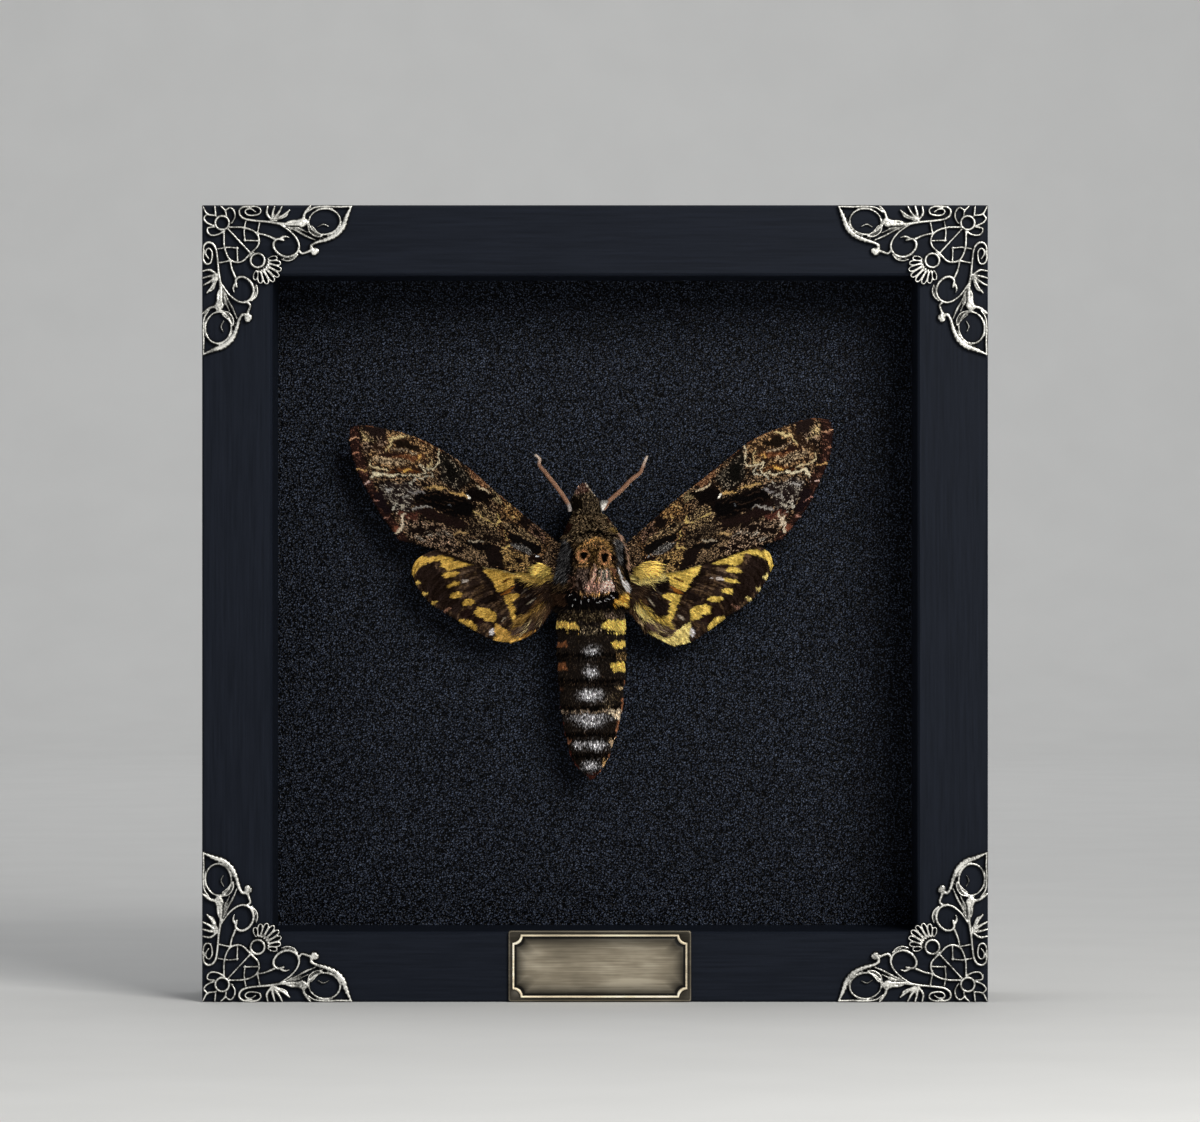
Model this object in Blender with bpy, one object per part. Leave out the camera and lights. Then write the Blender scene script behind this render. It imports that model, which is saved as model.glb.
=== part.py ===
# Death's head hawkmoth, set with its wings spread, in a black shadow-box frame
# with four pierced metal corner ornaments and a blank brass plaque.
# Metres, +Z up, the open front faces -Y and the frame stands on its bottom edge.

import math

import bmesh
import bpy
import numpy as np

MM = 0.001
GAP = 0.3

# Frame, in millimetres
FRAME_WIDTH = 180.0
FRAME_HEIGHT = 182.5
RAIL_WIDTH = 16.1
WOOD_FRONT_Y = -18.25
WOOD_REAR_Y = 19.75
RAIL_CHAMFER = 0.5
BOARD_FRONT_Y = 9.75
BOARD_THICKNESS = 2.5

# Metalwork that lies on the front of the wood
METAL_BACK_Y = WOOD_FRONT_Y - GAP
ORNAMENT_THICKNESS = 1.2
PLAQUE_LEFT = -19.8
PLAQUE_RIGHT = 22.0
PLAQUE_BOTTOM = 0.2
PLAQUE_TOP = 16.4
PLAQUE_THICKNESS = 0.8
PLAQUE_CORNER = 0.5
PLAQUE_BORDER_INSET = 0.85
PLAQUE_BORDER_HEIGHT = 0.35
PLAQUE_SCALLOP = 1.9

# Moth: its own origin is the waist, where thorax and abdomen meet
MOTH_X = -0.94
MOTH_Z = 91.3
BODY_SIDES = 24
FOREWING_Y = -1.6
HINDWING_Y = -0.2
MEMBRANE_HALF = 0.27
VEIN_RIDGE = 0.14
VEIN_WIDTH = 0.34

# Thorax stations: height above the waist, side shift, half width, depth to the front, depth to the rear
THORAX = (
    (0.0, 0.0, 8.1, 6.6, 6.2),
    (2.3, -0.2, 8.6, 7.0, 6.7),
    (4.3, 0.1, 9.0, 7.3, 6.9),
    (7.6, 0.25, 8.85, 7.6, 7.0),
    (10.2, 0.5, 8.6, 7.7, 7.0),
    (12.5, 0.65, 8.25, 7.5, 6.8),
    (15.3, 0.2, 7.1, 6.8, 6.2),
    (17.7, -0.2, 5.9, 5.8, 5.4),
    (19.2, -0.4, 4.8, 5.0, 4.6),
    (20.6, -0.8, 3.7, 4.2, 3.8),
)
HEAD = (
    (20.9, -0.9, 3.5, 3.6, 3.4),
    (22.0, -1.1, 3.6, 3.9, 3.6),
    (23.5, -1.4, 3.4, 3.8, 3.6),
    (25.0, -1.7, 2.6, 3.1, 3.0),
    (26.5, -1.75, 1.6, 2.0, 2.0),
    (27.5, -1.7, 0.7, 0.8, 0.9),
)
EYE_RADIUS = 1.3
EYE_HEIGHT = 23.3
EYE_LEFT_X = -3.75
EYE_RIGHT_X = 1.05
EYE_Y = 0.5

# Abdomen outline: depth below the waist and half width, and where each segment ends
ABDOMEN_OUTLINE = (
    (0.3, 8.0),
    (4.2, 8.15),
    (8.6, 8.05),
    (13.4, 8.1),
    (17.6, 7.85),
    (23.1, 7.4),
    (26.9, 6.85),
    (31.0, 5.9),
    (35.2, 4.7),
    (37.3, 3.7),
    (38.9, 2.4),
    (40.0, 1.2),
    (40.7, 0.5),
)
ABDOMEN_SHIFT = ((0.3, 0.0), (13.0, 0.1), (24.0, 0.15), (31.0, -0.05), (37.0, -0.3), (40.0, 0.15))
SEGMENT_ENDS = (1.9, 6.8, 12.8, 18.8, 25.1, 31.3, 36.1, 39.4, 40.7)
SEGMENT_SWELL = 0.018
ABDOMEN_DEPTH_SHARE = 0.84

# Folded legs: place sideways, share of the way back from the thorax to the legs' own plane, height above the waist
LEG_Y = BOARD_FRONT_Y - GAP - 0.65
LEG_RADII = (0.45, 0.6, 0.62, 0.55, 0.42, 0.5, 0.45, 0.36, 0.26)
LEG_PATHS = (
    ("front", ((2.0, 0.0, 15.4), (2.8, 0.6, 15.8), (4.0, 1.0, 15.9), (5.2, 1.0, 15.2), (5.4, 1.0, 13.8), (3.2, 1.0, 12.6))),
    ("middle", ((2.2, 0.0, 10.6), (3.1, 0.6, 10.7), (4.6, 1.0, 10.6), (6.6, 1.0, 9.9), (6.8, 1.0, 8.2), (3.2, 1.0, 7.2))),
    ("hind", ((2.2, 0.0, 5.4), (3.1, 0.6, 5.4), (4.6, 1.0, 5.2), (6.5, 1.0, 4.6), (6.6, 1.0, 2.9), (3.0, 1.0, 2.0))),
)

# Wing outlines in millimetres. A forewing's first axis runs from its base to its apex.
FOREWING_LEFT = {
    "base": (8.8, 13.4),
    "rise": 29.3,
    "root": (13.9, 6.4),
    "costa": ((8.7, 2.7), (17.6, 4.4), (26.4, 6.2), (34.3, 6.7), (41.9, 6.0), (48.6, 4.1), (53.2, 2.1), (54.5, 0.0)),
    "outer": ((53.2, -2.4), (49.1, -6.8), (44.8, -9.7), (39.0, -13.1), (34.0, -15.3), (31.4, -16.6)),
    "inner": ((6.3, -10.3), (10.3, -11.9), (15.6, -12.9), (21.3, -13.9), (26.5, -15.2)),
}
FOREWING_RIGHT = {
    "base": (9.0, 13.2),
    "rise": 31.7,
    "root": (13.9, 6.4),
    "costa": ((8.0, 2.4), (15.6, 3.7), (22.3, 4.4), (30.3, 5.4), (37.0, 6.1), (44.3, 5.1), (51.3, 3.2), (55.2, 0.3)),
    "outer": ((54.1, -2.9), (49.8, -7.6), (45.2, -10.7), (40.2, -13.9), (34.7, -15.9), (30.8, -17.2)),
    "inner": ((6.8, -11.0), (10.0, -11.8), (16.9, -13.6), (21.4, -14.8), (25.9, -16.0)),
}
HINDWING_LEFT = {
    "base": (8.1, 7.2),
    "rise": 0.0,
    "root": (8.4, 1.6),
    "costa": ((5.0, 2.6), (12.0, 4.0), (20.0, 5.4), (26.0, 5.6), (29.9, 4.5), (32.6, 2.6), (33.7, -0.2)),
    "outer": ((32.5, -3.7), (29.0, -7.8), (22.9, -11.4), (17.6, -14.4), (13.5, -16.0), (9.8, -16.2)),
    "inner": ((1.0, -8.2), (2.3, -11.1), (3.6, -13.3), (4.8, -14.4), (7.2, -15.6)),
}
HINDWING_RIGHT = {
    "base": (8.6, 7.2),
    "rise": 0.0,
    "root": (8.4, 1.6),
    "costa": ((5.0, 2.8), (12.0, 4.2), (20.0, 5.6), (27.0, 6.6), (30.6, 6.0), (33.0, 4.2), (33.8, 0.9)),
    "outer": ((31.8, -3.0), (29.0, -6.7), (23.4, -10.4), (19.0, -13.5), (14.6, -16.2), (10.0, -17.2)),
    "inner": ((0.3, -9.0), (2.1, -12.1), (3.2, -13.8), (6.0, -15.5), (8.0, -16.6)),
}
FOREWING_VEINS = (0.07, 0.2, 0.34, 0.48, 0.62, 0.77, 0.91)
HINDWING_VEINS = (0.1, 0.27, 0.43, 0.59, 0.75, 0.9)
FOREWING_BANDS = (0.0, 0.1, 0.22, 0.36, 0.5, 0.64, 0.78, 0.89, 0.96, 1.0)
HINDWING_BANDS = (0.0, 0.14, 0.3, 0.46, 0.62, 0.77, 0.9, 1.0)


def new_material(name, colour, roughness, metallic=0.0):
    material = bpy.data.materials.new(name)
    material.use_nodes = True
    shader = material.node_tree.nodes["Principled BSDF"]
    shader.inputs["Base Color"].default_value = (*colour, 1.0)
    shader.inputs["Roughness"].default_value = roughness
    shader.inputs["Metallic"].default_value = metallic
    material.diffuse_color = (*colour, 1.0)
    return material


def mesh_object(name, collection, points, faces, material):
    """A closed mesh from points in millimetres, its faces turned outwards."""
    mesh = bpy.data.meshes.new(name)
    mesh.from_pydata([(x * MM, y * MM, z * MM) for x, y, z in points], [], faces)
    work = bmesh.new()
    work.from_mesh(mesh)
    bmesh.ops.recalc_face_normals(work, faces=work.faces)
    if work.calc_volume(signed=True) < 0.0:
        bmesh.ops.reverse_faces(work, faces=work.faces)
    work.to_mesh(mesh)
    work.free()
    made = bpy.data.objects.new(name, mesh)
    mesh.materials.append(material)
    collection.objects.link(made)
    return made


def spline(points, share):
    """A point of the smooth curve through the given points, at a share of its chord length."""
    knots = np.asarray(points, float)
    steps = np.linalg.norm(np.diff(knots, axis=0), axis=1)
    along = np.concatenate([[0.0], np.cumsum(steps)])
    place = share * along[-1]
    i = int(np.clip(np.searchsorted(along, place, side="right") - 1, 0, len(steps) - 1))
    t = (place - along[i]) / steps[i]

    def slope(k):
        low = max(k - 1, 0)
        high = min(k + 1, len(knots) - 1)
        return (knots[high] - knots[low]) / (along[high] - along[low]) * steps[i]

    here, there = knots[i], knots[i + 1]
    return (
        (2 * t**3 - 3 * t**2 + 1) * here
        + (t**3 - 2 * t**2 + t) * slope(i)
        + (3 * t**2 - 2 * t**3) * there
        + (t**3 - t**2) * slope(i + 1)
    )


def loft(name, collection, rings, material):
    """A closed body through rings of equal length, its two ends flat."""
    count = len(rings[0])
    points = [p for ring in rings for p in ring]
    faces = [tuple(range(count)), tuple((len(rings) - 1) * count + k for k in range(count))]
    for i in range(len(rings) - 1):
        for k in range(count):
            after = (k + 1) % count
            faces.append((i * count + k, i * count + after, (i + 1) * count + after, (i + 1) * count + k))
    return mesh_object(name, collection, points, faces, material)


def oval(x, z, half_width, front, rear, sides=BODY_SIDES):
    """A level ring of the moth's body, deeper or shallower to the front and to the rear."""
    ring = []
    for k in range(sides):
        angle = 2.0 * math.pi * k / sides
        depth = rear if math.sin(angle) > 0.0 else front
        ring.append((MOTH_X + x + half_width * math.cos(angle), depth * math.sin(angle), MOTH_Z + z))
    return ring


def thorax_edge(z, y, side):
    """How far the thorax reaches sideways from the midline at this height and depth."""
    heights = [row[0] for row in THORAX]
    shift = np.interp(z, heights, [row[1] for row in THORAX])
    half = np.interp(z, heights, [row[2] for row in THORAX])
    depth = np.interp(z, heights, [row[3] for row in THORAX])
    return half * math.sqrt(1.0 - min(0.9, (y / depth) ** 2)) + side * shift


def thorax_rear(x, z):
    """How far back the thorax reaches at this place."""
    heights = [row[0] for row in THORAX]
    shift = np.interp(z, heights, [row[1] for row in THORAX])
    half = np.interp(z, heights, [row[2] for row in THORAX])
    depth = np.interp(z, heights, [row[4] for row in THORAX])
    return depth * math.sqrt(1.0 - ((x - shift) / half) ** 2)


def wing_curves(wing, side, y):
    """The four edges of a wing, in millimetres from the waist, x measured outwards from the midline."""
    turn = math.radians(wing["rise"])

    def placed(point):
        u, v = point
        x = wing["base"][0] + u * math.cos(turn) - v * math.sin(turn)
        z = wing["base"][1] + u * math.sin(turn) + v * math.cos(turn)
        return (x, z)

    high, low = wing["root"]
    steps = 5
    root = []
    for k in range(steps):
        z = high + (low - high) * k / (steps - 1)
        root.append((thorax_edge(z, y, side) + GAP + 0.05, z))
    costa = [root[0]] + [placed(p) for p in wing["costa"]]
    outer = [costa[-1]] + [placed(p) for p in wing["outer"]]
    inner = [root[-1]] + [placed(p) for p in wing["inner"]] + [outer[-1]]
    return {"root": root, "costa": costa, "outer": outer, "inner": inner}


def wing_place(curves, a, b):
    """The point of the wing at share a from root to margin and share b from front edge to rear edge."""
    front = spline(curves["costa"], a)
    rear = spline(curves["inner"], a)
    start = spline(curves["root"], b)
    end = spline(curves["outer"], b)
    corners = (
        (1 - a) * (1 - b) * np.asarray(curves["root"][0])
        + (1 - a) * b * np.asarray(curves["root"][-1])
        + a * (1 - b) * np.asarray(curves["outer"][0])
        + a * b * np.asarray(curves["outer"][-1])
    )
    return (1 - b) * front + b * rear + (1 - a) * start + a * end - corners


def wing_depth(x, z):
    """How the spread wings sag: a shallow arch along the span and a fold towards the body."""
    outward = max(0.0, x - 9.0)
    return 0.00055 * outward**2 - 0.45 * math.sin(min(1.0, outward / 30.0) * math.pi) + 0.012 * abs(z - 12.0)


def wing_object(name, collection, wing, side, y, veins, bands, material):
    """A thin vane with its veins raised on both faces, split into triangles alike on both."""
    curves = wing_curves(wing, side, y)
    lines = [(0.0, 0.6)]
    for place in veins:
        lines.append((place, 1.0))
    lines.append((1.0, 0.0))
    columns = []
    for place, ridge in lines:
        if place in (0.0, 1.0):
            columns.append((place, 0.0, ridge))
            continue
        columns.append((place, -VEIN_WIDTH, 0.0))
        columns.append((place, 0.0, ridge))
        columns.append((place, VEIN_WIDTH, 0.0))
    front, rear = [], []
    for a in bands:
        chord = np.linalg.norm(wing_place(curves, a, 1.0) - wing_place(curves, a, 0.0))
        for place, offset, ridge in columns:
            x, z = wing_place(curves, a, place + offset / chord)
            half = MEMBRANE_HALF + 0.22 * (1.0 - a) ** 2 + ridge * VEIN_RIDGE * (1.0 - 0.5 * a)
            middle = y + wing_depth(x, z)
            front.append((MOTH_X + side * x, middle - half, MOTH_Z + z))
            rear.append((MOTH_X + side * x, middle + half, MOTH_Z + z))
    wide, long = len(columns), len(bands)
    points = front + rear
    behind = len(front)
    faces = []
    for i in range(long - 1):
        for k in range(wide - 1):
            p, q = i * wide + k, i * wide + k + 1
            r, s = q + wide, p + wide
            for shift in (0, behind):
                faces.append((p + shift, q + shift, r + shift))
                faces.append((p + shift, r + shift, s + shift))
    rim = [k for k in range(wide)]
    rim += [i * wide + wide - 1 for i in range(1, long)]
    rim += [(long - 1) * wide + k for k in range(wide - 2, -1, -1)]
    rim += [i * wide for i in range(long - 2, 0, -1)]
    for k, p in enumerate(rim):
        q = rim[(k + 1) % len(rim)]
        faces.append((p, q, q + behind))
        faces.append((p, q + behind, p + behind))
    return mesh_object(name, collection, points, faces, material)


def tube(name, collection, path, radii, sides, material):
    """A round tapering limb along a path of places in millimetres from the waist."""
    places = np.asarray(path, float)
    rings = []
    side_way = None
    for i, place in enumerate(places):
        before = places[max(i - 1, 0)]
        after = places[min(i + 1, len(places) - 1)]
        way = (after - before) / np.linalg.norm(after - before)
        if side_way is None:
            side_way = np.cross(way, (0.0, 1.0, 0.0))
        side_way = side_way - way * np.dot(side_way, way)
        side_way = side_way / np.linalg.norm(side_way)
        up = np.cross(way, side_way)
        ring = []
        for k in range(sides):
            angle = 2.0 * math.pi * k / sides
            spot = place + radii[i] * (math.cos(angle) * side_way + math.sin(angle) * up)
            ring.append((MOTH_X + spot[0], spot[1], MOTH_Z + spot[2]))
        rings.append(ring)
    return loft(name, collection, rings, material)


def mitred_rail(name, collection, length, place, material):
    """One rail of the frame: its profile, cut at both ends on the mitre. place turns it into the frame."""
    c = RAIL_CHAMFER
    profile = (
        (0.0, WOOD_FRONT_Y + c),
        (c, WOOD_FRONT_Y),
        (RAIL_WIDTH - c, WOOD_FRONT_Y),
        (RAIL_WIDTH, WOOD_FRONT_Y + c),
        (RAIL_WIDTH, WOOD_REAR_Y),
        (0.0, WOOD_REAR_Y),
    )
    trim = GAP / math.sqrt(2.0)
    rings = []
    for end in (-1.0, 1.0):
        rings.append([place(end * (length / 2.0 - inward - trim), y, inward) for inward, y in profile])
    return loft(name, collection, rings, material)


def stroke(points, half_widths, back, height, closed=False):
    """A raised band along a flat path: four corners at each place, narrower in front than at the back."""
    path = np.asarray(points, float)
    count = len(path)
    corners = []
    for i in range(count):
        before = path[(i - 1) % count] if closed else path[max(i - 1, 0)]
        after = path[(i + 1) % count] if closed else path[min(i + 1, count - 1)]
        way = (after - before) / np.linalg.norm(after - before)
        across = np.array((-way[1], way[0])) * half_widths[i]
        for reach, depth in ((1.0, back), (0.5, back - height), (-0.5, back - height), (-1.0, back)):
            u, v = path[i] + across * reach
            corners.append((u, depth, v))
    faces = []
    for i in range(count if closed else count - 1):
        for k in range(4):
            after = (k + 1) % 4
            j = (i + 1) % count
            faces.append((i * 4 + k, i * 4 + after, j * 4 + after, j * 4 + k))
    if not closed:
        faces.append((0, 1, 2, 3))
        faces.append(tuple((count - 1) * 4 + k for k in range(4)))
    return corners, faces


def arc(centre, radii, start, end, count, tilt=0.0):
    """Places along an ellipse, angles in degrees, the ellipse turned by tilt."""
    found = []
    for k in range(count):
        angle = math.radians(start + (end - start) * k / (count - 1))
        u, v = radii[0] * math.cos(angle), radii[1] * math.sin(angle)
        t = math.radians(tilt)
        found.append((centre[0] + u * math.cos(t) - v * math.sin(t), centre[1] + u * math.sin(t) + v * math.cos(t)))
    return found


def ring_path(centre, radii, count, tilt=0.0):
    return arc(centre, radii, 0.0, 360.0 * (count - 1) / count, count, tilt)


def ornament_strokes():
    """Bands of one corner ornament in millimetres from the frame's outer corner, u along one rail, v along the other."""
    flower = (4.75, 4.55)
    hub = (12.85, 12.85)
    found = []
    found.append((ring_path(flower, (1.55, 1.55), 8), [0.5] * 8, True))
    found.append(([(3.7, 3.7), (0.5, 0.5)], [1.2, 0.2], False))
    found.append(([(5.6, 5.6), (11.8, 11.8)], [0.5, 0.5], False))
    found.append((ring_path(hub, (1.6, 1.6), 8, 22.5), [0.45] * 8, True))
    for k in range(-3, 4):
        angle = math.radians(45.0 + 20.0 * k)
        reach = 6.4 - 0.2 * k * k
        way = (math.cos(angle), math.sin(angle))
        near = (hub[0] + 1.5 * way[0], hub[1] + 1.5 * way[1])
        far = (hub[0] + reach * way[0], hub[1] + reach * way[1])
        found.append(([near, far], [0.34, 0.72], False))
    for flip in (False, True):
        half = []
        half.append(([(4.5, 3.2), (3.9, 0.7)], [0.8, 0.2], False))
        half.append(([(5.8, 3.8), (6.9, 1.4)], [0.8, 0.2], False))
        half.append(([(6.0, 6.1), (9.4, 6.3), (12.5, 7.1), (12.8, 9.5), (11.4, 11.8)], [0.4] * 5, False))
        half.append(([(9.75, 4.3), (9.75, 9.6)], [0.36, 0.36], False))
        half.append(([(12.9, 4.0), (12.9, 7.4)], [0.36, 0.36], False))
        half.append(([(12.5, 7.2), (17.7, 8.5)], [0.5, 0.5], False))
        half.append((ring_path((11.1, 1.6), (2.3, 1.0), 8), [0.42] * 8, True))
        half.append(([(6.4, 5.2), (9.8, 4.9), (12.4, 3.1), (16.6, 3.7), (22.6, 4.3)], [0.45, 0.45, 0.5, 0.55, 0.7], False))
        half.append(([(17.6, 3.9), (15.7, 0.9)], [0.55, 0.5], False))
        half.append(([(18.1, 3.9), (17.9, 0.4)], [0.55, 0.55], False))
        half.append(([(18.5, 4.0), (20.2, 1.1)], [0.55, 0.5], False))
        scroll = [(18.2, 4.2), (20.6, 6.5), (22.1, 9.6), (20.8, 12.4), (18.2, 12.4), (16.7, 10.3), (17.2, 8.2), (18.9, 7.2)]
        half.append((scroll, [0.34, 0.34, 0.36, 0.6, 0.75, 0.65, 0.5, 0.5], False))
        half.append(([(20.0, 5.6), (24.9, 7.7)], [0.34, 0.34], False))
        half.append(([(22.3, 4.0), (22.8, 2.2), (24.7, 0.4)], [0.7, 0.4, 0.3], False))
        half.append((ring_path((27.3, 4.0), (4.3, 3.2), 12, -6.0), [0.4] * 12, True))
        rope = [(25.0, 8.2), (28.2, 8.0), (30.7, 6.7), (32.3, 4.3), (34.0, 0.4)]
        half.append((rope, [0.7, 0.85, 0.85, 0.8, 0.15], False))
        half.append(([(29.0, 1.1), (33.9, 0.7)], [0.45, 0.3], False))
        half.append(([(25.3, 7.9), (25.7, 10.9), (21.4, 11.4)], [0.6, 0.7, 0.55], False))
        half.append(([(24.2, 5.6), (27.0, 5.2), (30.6, 4.9)], [0.3, 0.8, 0.4], False))
        for path, widths, closed in half:
            found.append(([(v, u) for u, v in path] if flip else path, widths, closed))
    return found


def united(name, collection, cutters, pieces, material):
    """One closed surface from overlapping closed meshes."""
    group = bpy.data.collections.new(name + "_pieces")
    cutters.children.link(group)
    helpers = []
    for k, (points, faces) in enumerate(pieces[1:]):
        helpers.append(mesh_object(name + "_piece_" + str(k), group, points, faces, material))
    made = mesh_object(name, collection, pieces[0][0], pieces[0][1], material)
    union = made.modifiers.new("Union", "BOOLEAN")
    union.operation = "UNION"
    union.operand_type = "COLLECTION"
    union.collection = group
    union.solver = "EXACT"
    bpy.context.view_layer.update()
    graph = bpy.context.evaluated_depsgraph_get()
    mesh = bpy.data.meshes.new_from_object(made.evaluated_get(graph))
    made.modifiers.clear()
    made.data = mesh
    for helper in helpers:
        bpy.data.objects.remove(helper, do_unlink=True)
    bpy.data.collections.remove(group)
    keep_largest(made)
    return made


def keep_largest(made):
    """Removes loose shells, so that one closed surface is left."""
    work = bmesh.new()
    work.from_mesh(made.data)
    unseen = set(work.faces)
    shells = []
    while unseen:
        start = unseen.pop()
        shell, edge = {start}, [start]
        while edge:
            for side in edge.pop().edges:
                for face in side.link_faces:
                    if face in unseen:
                        unseen.discard(face)
                        shell.add(face)
                        edge.append(face)
        shells.append(shell)
    shells.sort(key=len)
    for shell in shells[:-1]:
        bmesh.ops.delete(work, geom=list(shell), context="FACES")
    bmesh.ops.triangulate(work, faces=work.faces)
    work.to_mesh(made.data)
    work.free()


def make_frame(collection, wood, leatherette):
    half_high = FRAME_HEIGHT / 2.0
    half_wide = FRAME_WIDTH / 2.0
    mitred_rail(
        "frame_rail_bottom", collection, FRAME_WIDTH, lambda along, y, inward: (along, y, inward), wood
    )
    mitred_rail(
        "frame_rail_top", collection, FRAME_WIDTH, lambda along, y, inward: (along, y, FRAME_HEIGHT - inward), wood
    )
    mitred_rail(
        "frame_rail_left",
        collection,
        FRAME_HEIGHT,
        lambda along, y, inward: (inward - half_wide, y, half_high + along),
        wood,
    )
    mitred_rail(
        "frame_rail_right",
        collection,
        FRAME_HEIGHT,
        lambda along, y, inward: (half_wide - inward, y, half_high + along),
        wood,
    )
    wide = half_wide - RAIL_WIDTH - GAP
    rings = []
    for y in (BOARD_FRONT_Y, BOARD_FRONT_Y + BOARD_THICKNESS):
        low, high = RAIL_WIDTH + GAP, FRAME_HEIGHT - RAIL_WIDTH - GAP
        rings.append([(-wide, y, low), (wide, y, low), (wide, y, high), (-wide, y, high)])
    loft("backing_board", collection, rings, leatherette)


def make_ornaments(collection, cutters, metal):
    places = (("top_left", -1.0, 1.0), ("top_right", 1.0, 1.0), ("bottom_left", -1.0, -1.0), ("bottom_right", 1.0, -1.0))
    for corner, side, rise in places:
        pieces = []
        for k, (path, widths, closed) in enumerate(ornament_strokes()):
            back = METAL_BACK_Y - 0.012 * (k % 4)
            height = ORNAMENT_THICKNESS - 0.06 - 0.05 * (k % 5)
            corners, faces = stroke(path, widths, back, height, closed)
            placed = []
            for u, y, v in corners:
                x = side * (FRAME_WIDTH / 2.0 - u)
                z = FRAME_HEIGHT - v if rise > 0.0 else v
                placed.append((x, y, z))
            pieces.append((placed, faces))
        united("corner_ornament_" + corner, collection, cutters, pieces, metal)


def plaque_ring(inset, y, radius, notched):
    """An outline drawn in from the plaque's edge, its corners rounded or cut by round notches."""
    left, right = PLAQUE_LEFT + inset, PLAQUE_RIGHT - inset
    low, high = PLAQUE_BOTTOM + inset, PLAQUE_TOP - inset
    steps = 5
    ring = []
    for x, z, start in ((left, low, 90.0), (right, low, 180.0), (right, high, 270.0), (left, high, 360.0)):
        inward_x = radius if x == left else -radius
        inward_z = radius if z == low else -radius
        for k in range(steps):
            turn = -90.0 * k / (steps - 1)
            if notched:
                angle = math.radians(start + turn)
                ring.append((x + radius * math.cos(angle), y, z + radius * math.sin(angle)))
            else:
                angle = math.radians(start + 90.0 - turn)
                ring.append((x + inward_x + radius * math.cos(angle), y, z + inward_z + radius * math.sin(angle)))
    return ring


def make_plaque(collection, brass):
    """A flat plate with rounded corners, and on it a raised border with notched corners."""
    face = METAL_BACK_Y - PLAQUE_THICKNESS
    crest = face - PLAQUE_BORDER_HEIGHT
    border = PLAQUE_BORDER_INSET
    rings = [
        plaque_ring(0.0, METAL_BACK_Y, PLAQUE_CORNER, False),
        plaque_ring(0.0, face, PLAQUE_CORNER, False),
        plaque_ring(border, face, PLAQUE_SCALLOP, True),
        plaque_ring(border + 0.1, crest, PLAQUE_SCALLOP, True),
        plaque_ring(border + 0.65, crest, PLAQUE_SCALLOP, True),
        plaque_ring(border + 0.75, face, PLAQUE_SCALLOP, True),
    ]
    loft("plaque", collection, rings, brass)


def cut_sockets(head, cutters):
    """Hollows in the head where the eyes sit."""
    for k, x in enumerate((EYE_LEFT_X, EYE_RIGHT_X)):
        bpy.ops.mesh.primitive_uv_sphere_add(
            segments=12,
            ring_count=8,
            radius=(EYE_RADIUS + GAP) * MM,
            location=((MOTH_X + x) * MM, EYE_Y * MM, (MOTH_Z + EYE_HEIGHT) * MM),
        )
        cutter = bpy.context.object
        cutter.name = "eye_socket_" + str(k)
        cutter.hide_render = True
        cutter.display_type = "WIRE"
        for group in list(cutter.users_collection):
            group.objects.unlink(cutter)
        cutters.objects.link(cutter)
        cut = head.modifiers.new("Socket" + str(k), "BOOLEAN")
        cut.operation = "DIFFERENCE"
        cut.object = cutter
        cut.solver = "EXACT"


def make_body(collection, cutters, fur, dark_eye, scales):
    rings = [oval(x, z, half, front, rear) for z, x, half, front, rear in THORAX]
    loft("thorax", collection, rings, fur)
    rings = [oval(x, z, half, front, rear, 20) for z, x, half, front, rear in HEAD]
    head = loft("head", collection, rings, fur)
    cut_sockets(head, cutters)
    for name, x in (("eye_left", EYE_LEFT_X), ("eye_right", EYE_RIGHT_X)):
        rings = []
        for k in range(7):
            angle = math.radians(-80.0 + 160.0 * k / 6)
            radius = EYE_RADIUS * math.cos(angle)
            rings.append(oval_about(x, EYE_Y, EYE_HEIGHT + EYE_RADIUS * math.sin(angle), radius))
        loft(name, collection, rings, dark_eye)
    depths = [row[0] for row in ABDOMEN_OUTLINE]
    halves = [row[1] for row in ABDOMEN_OUTLINE]
    rings = []
    start = ABDOMEN_OUTLINE[0][0]
    for end in SEGMENT_ENDS:
        stops = ((start, 1.0 - SEGMENT_SWELL), (start + 0.4 * (end - start), 1.0), (end - 0.12, 1.0 + SEGMENT_SWELL))
        for depth, swell in stops:
            half = float(np.interp(depth, depths, halves)) * swell
            shift = float(np.interp(depth, [r[0] for r in ABDOMEN_SHIFT], [r[1] for r in ABDOMEN_SHIFT]))
            thick = half * ABDOMEN_DEPTH_SHARE
            rings.append(oval(shift, -depth, half, thick, thick, 20))
        start = end
    loft("abdomen", collection, rings, scales)


def oval_about(x, y, z, radius, sides=12):
    return [
        (
            MOTH_X + x + radius * math.cos(2.0 * math.pi * k / sides),
            y + radius * math.sin(2.0 * math.pi * k / sides),
            MOTH_Z + z,
        )
        for k in range(sides)
    ]


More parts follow.
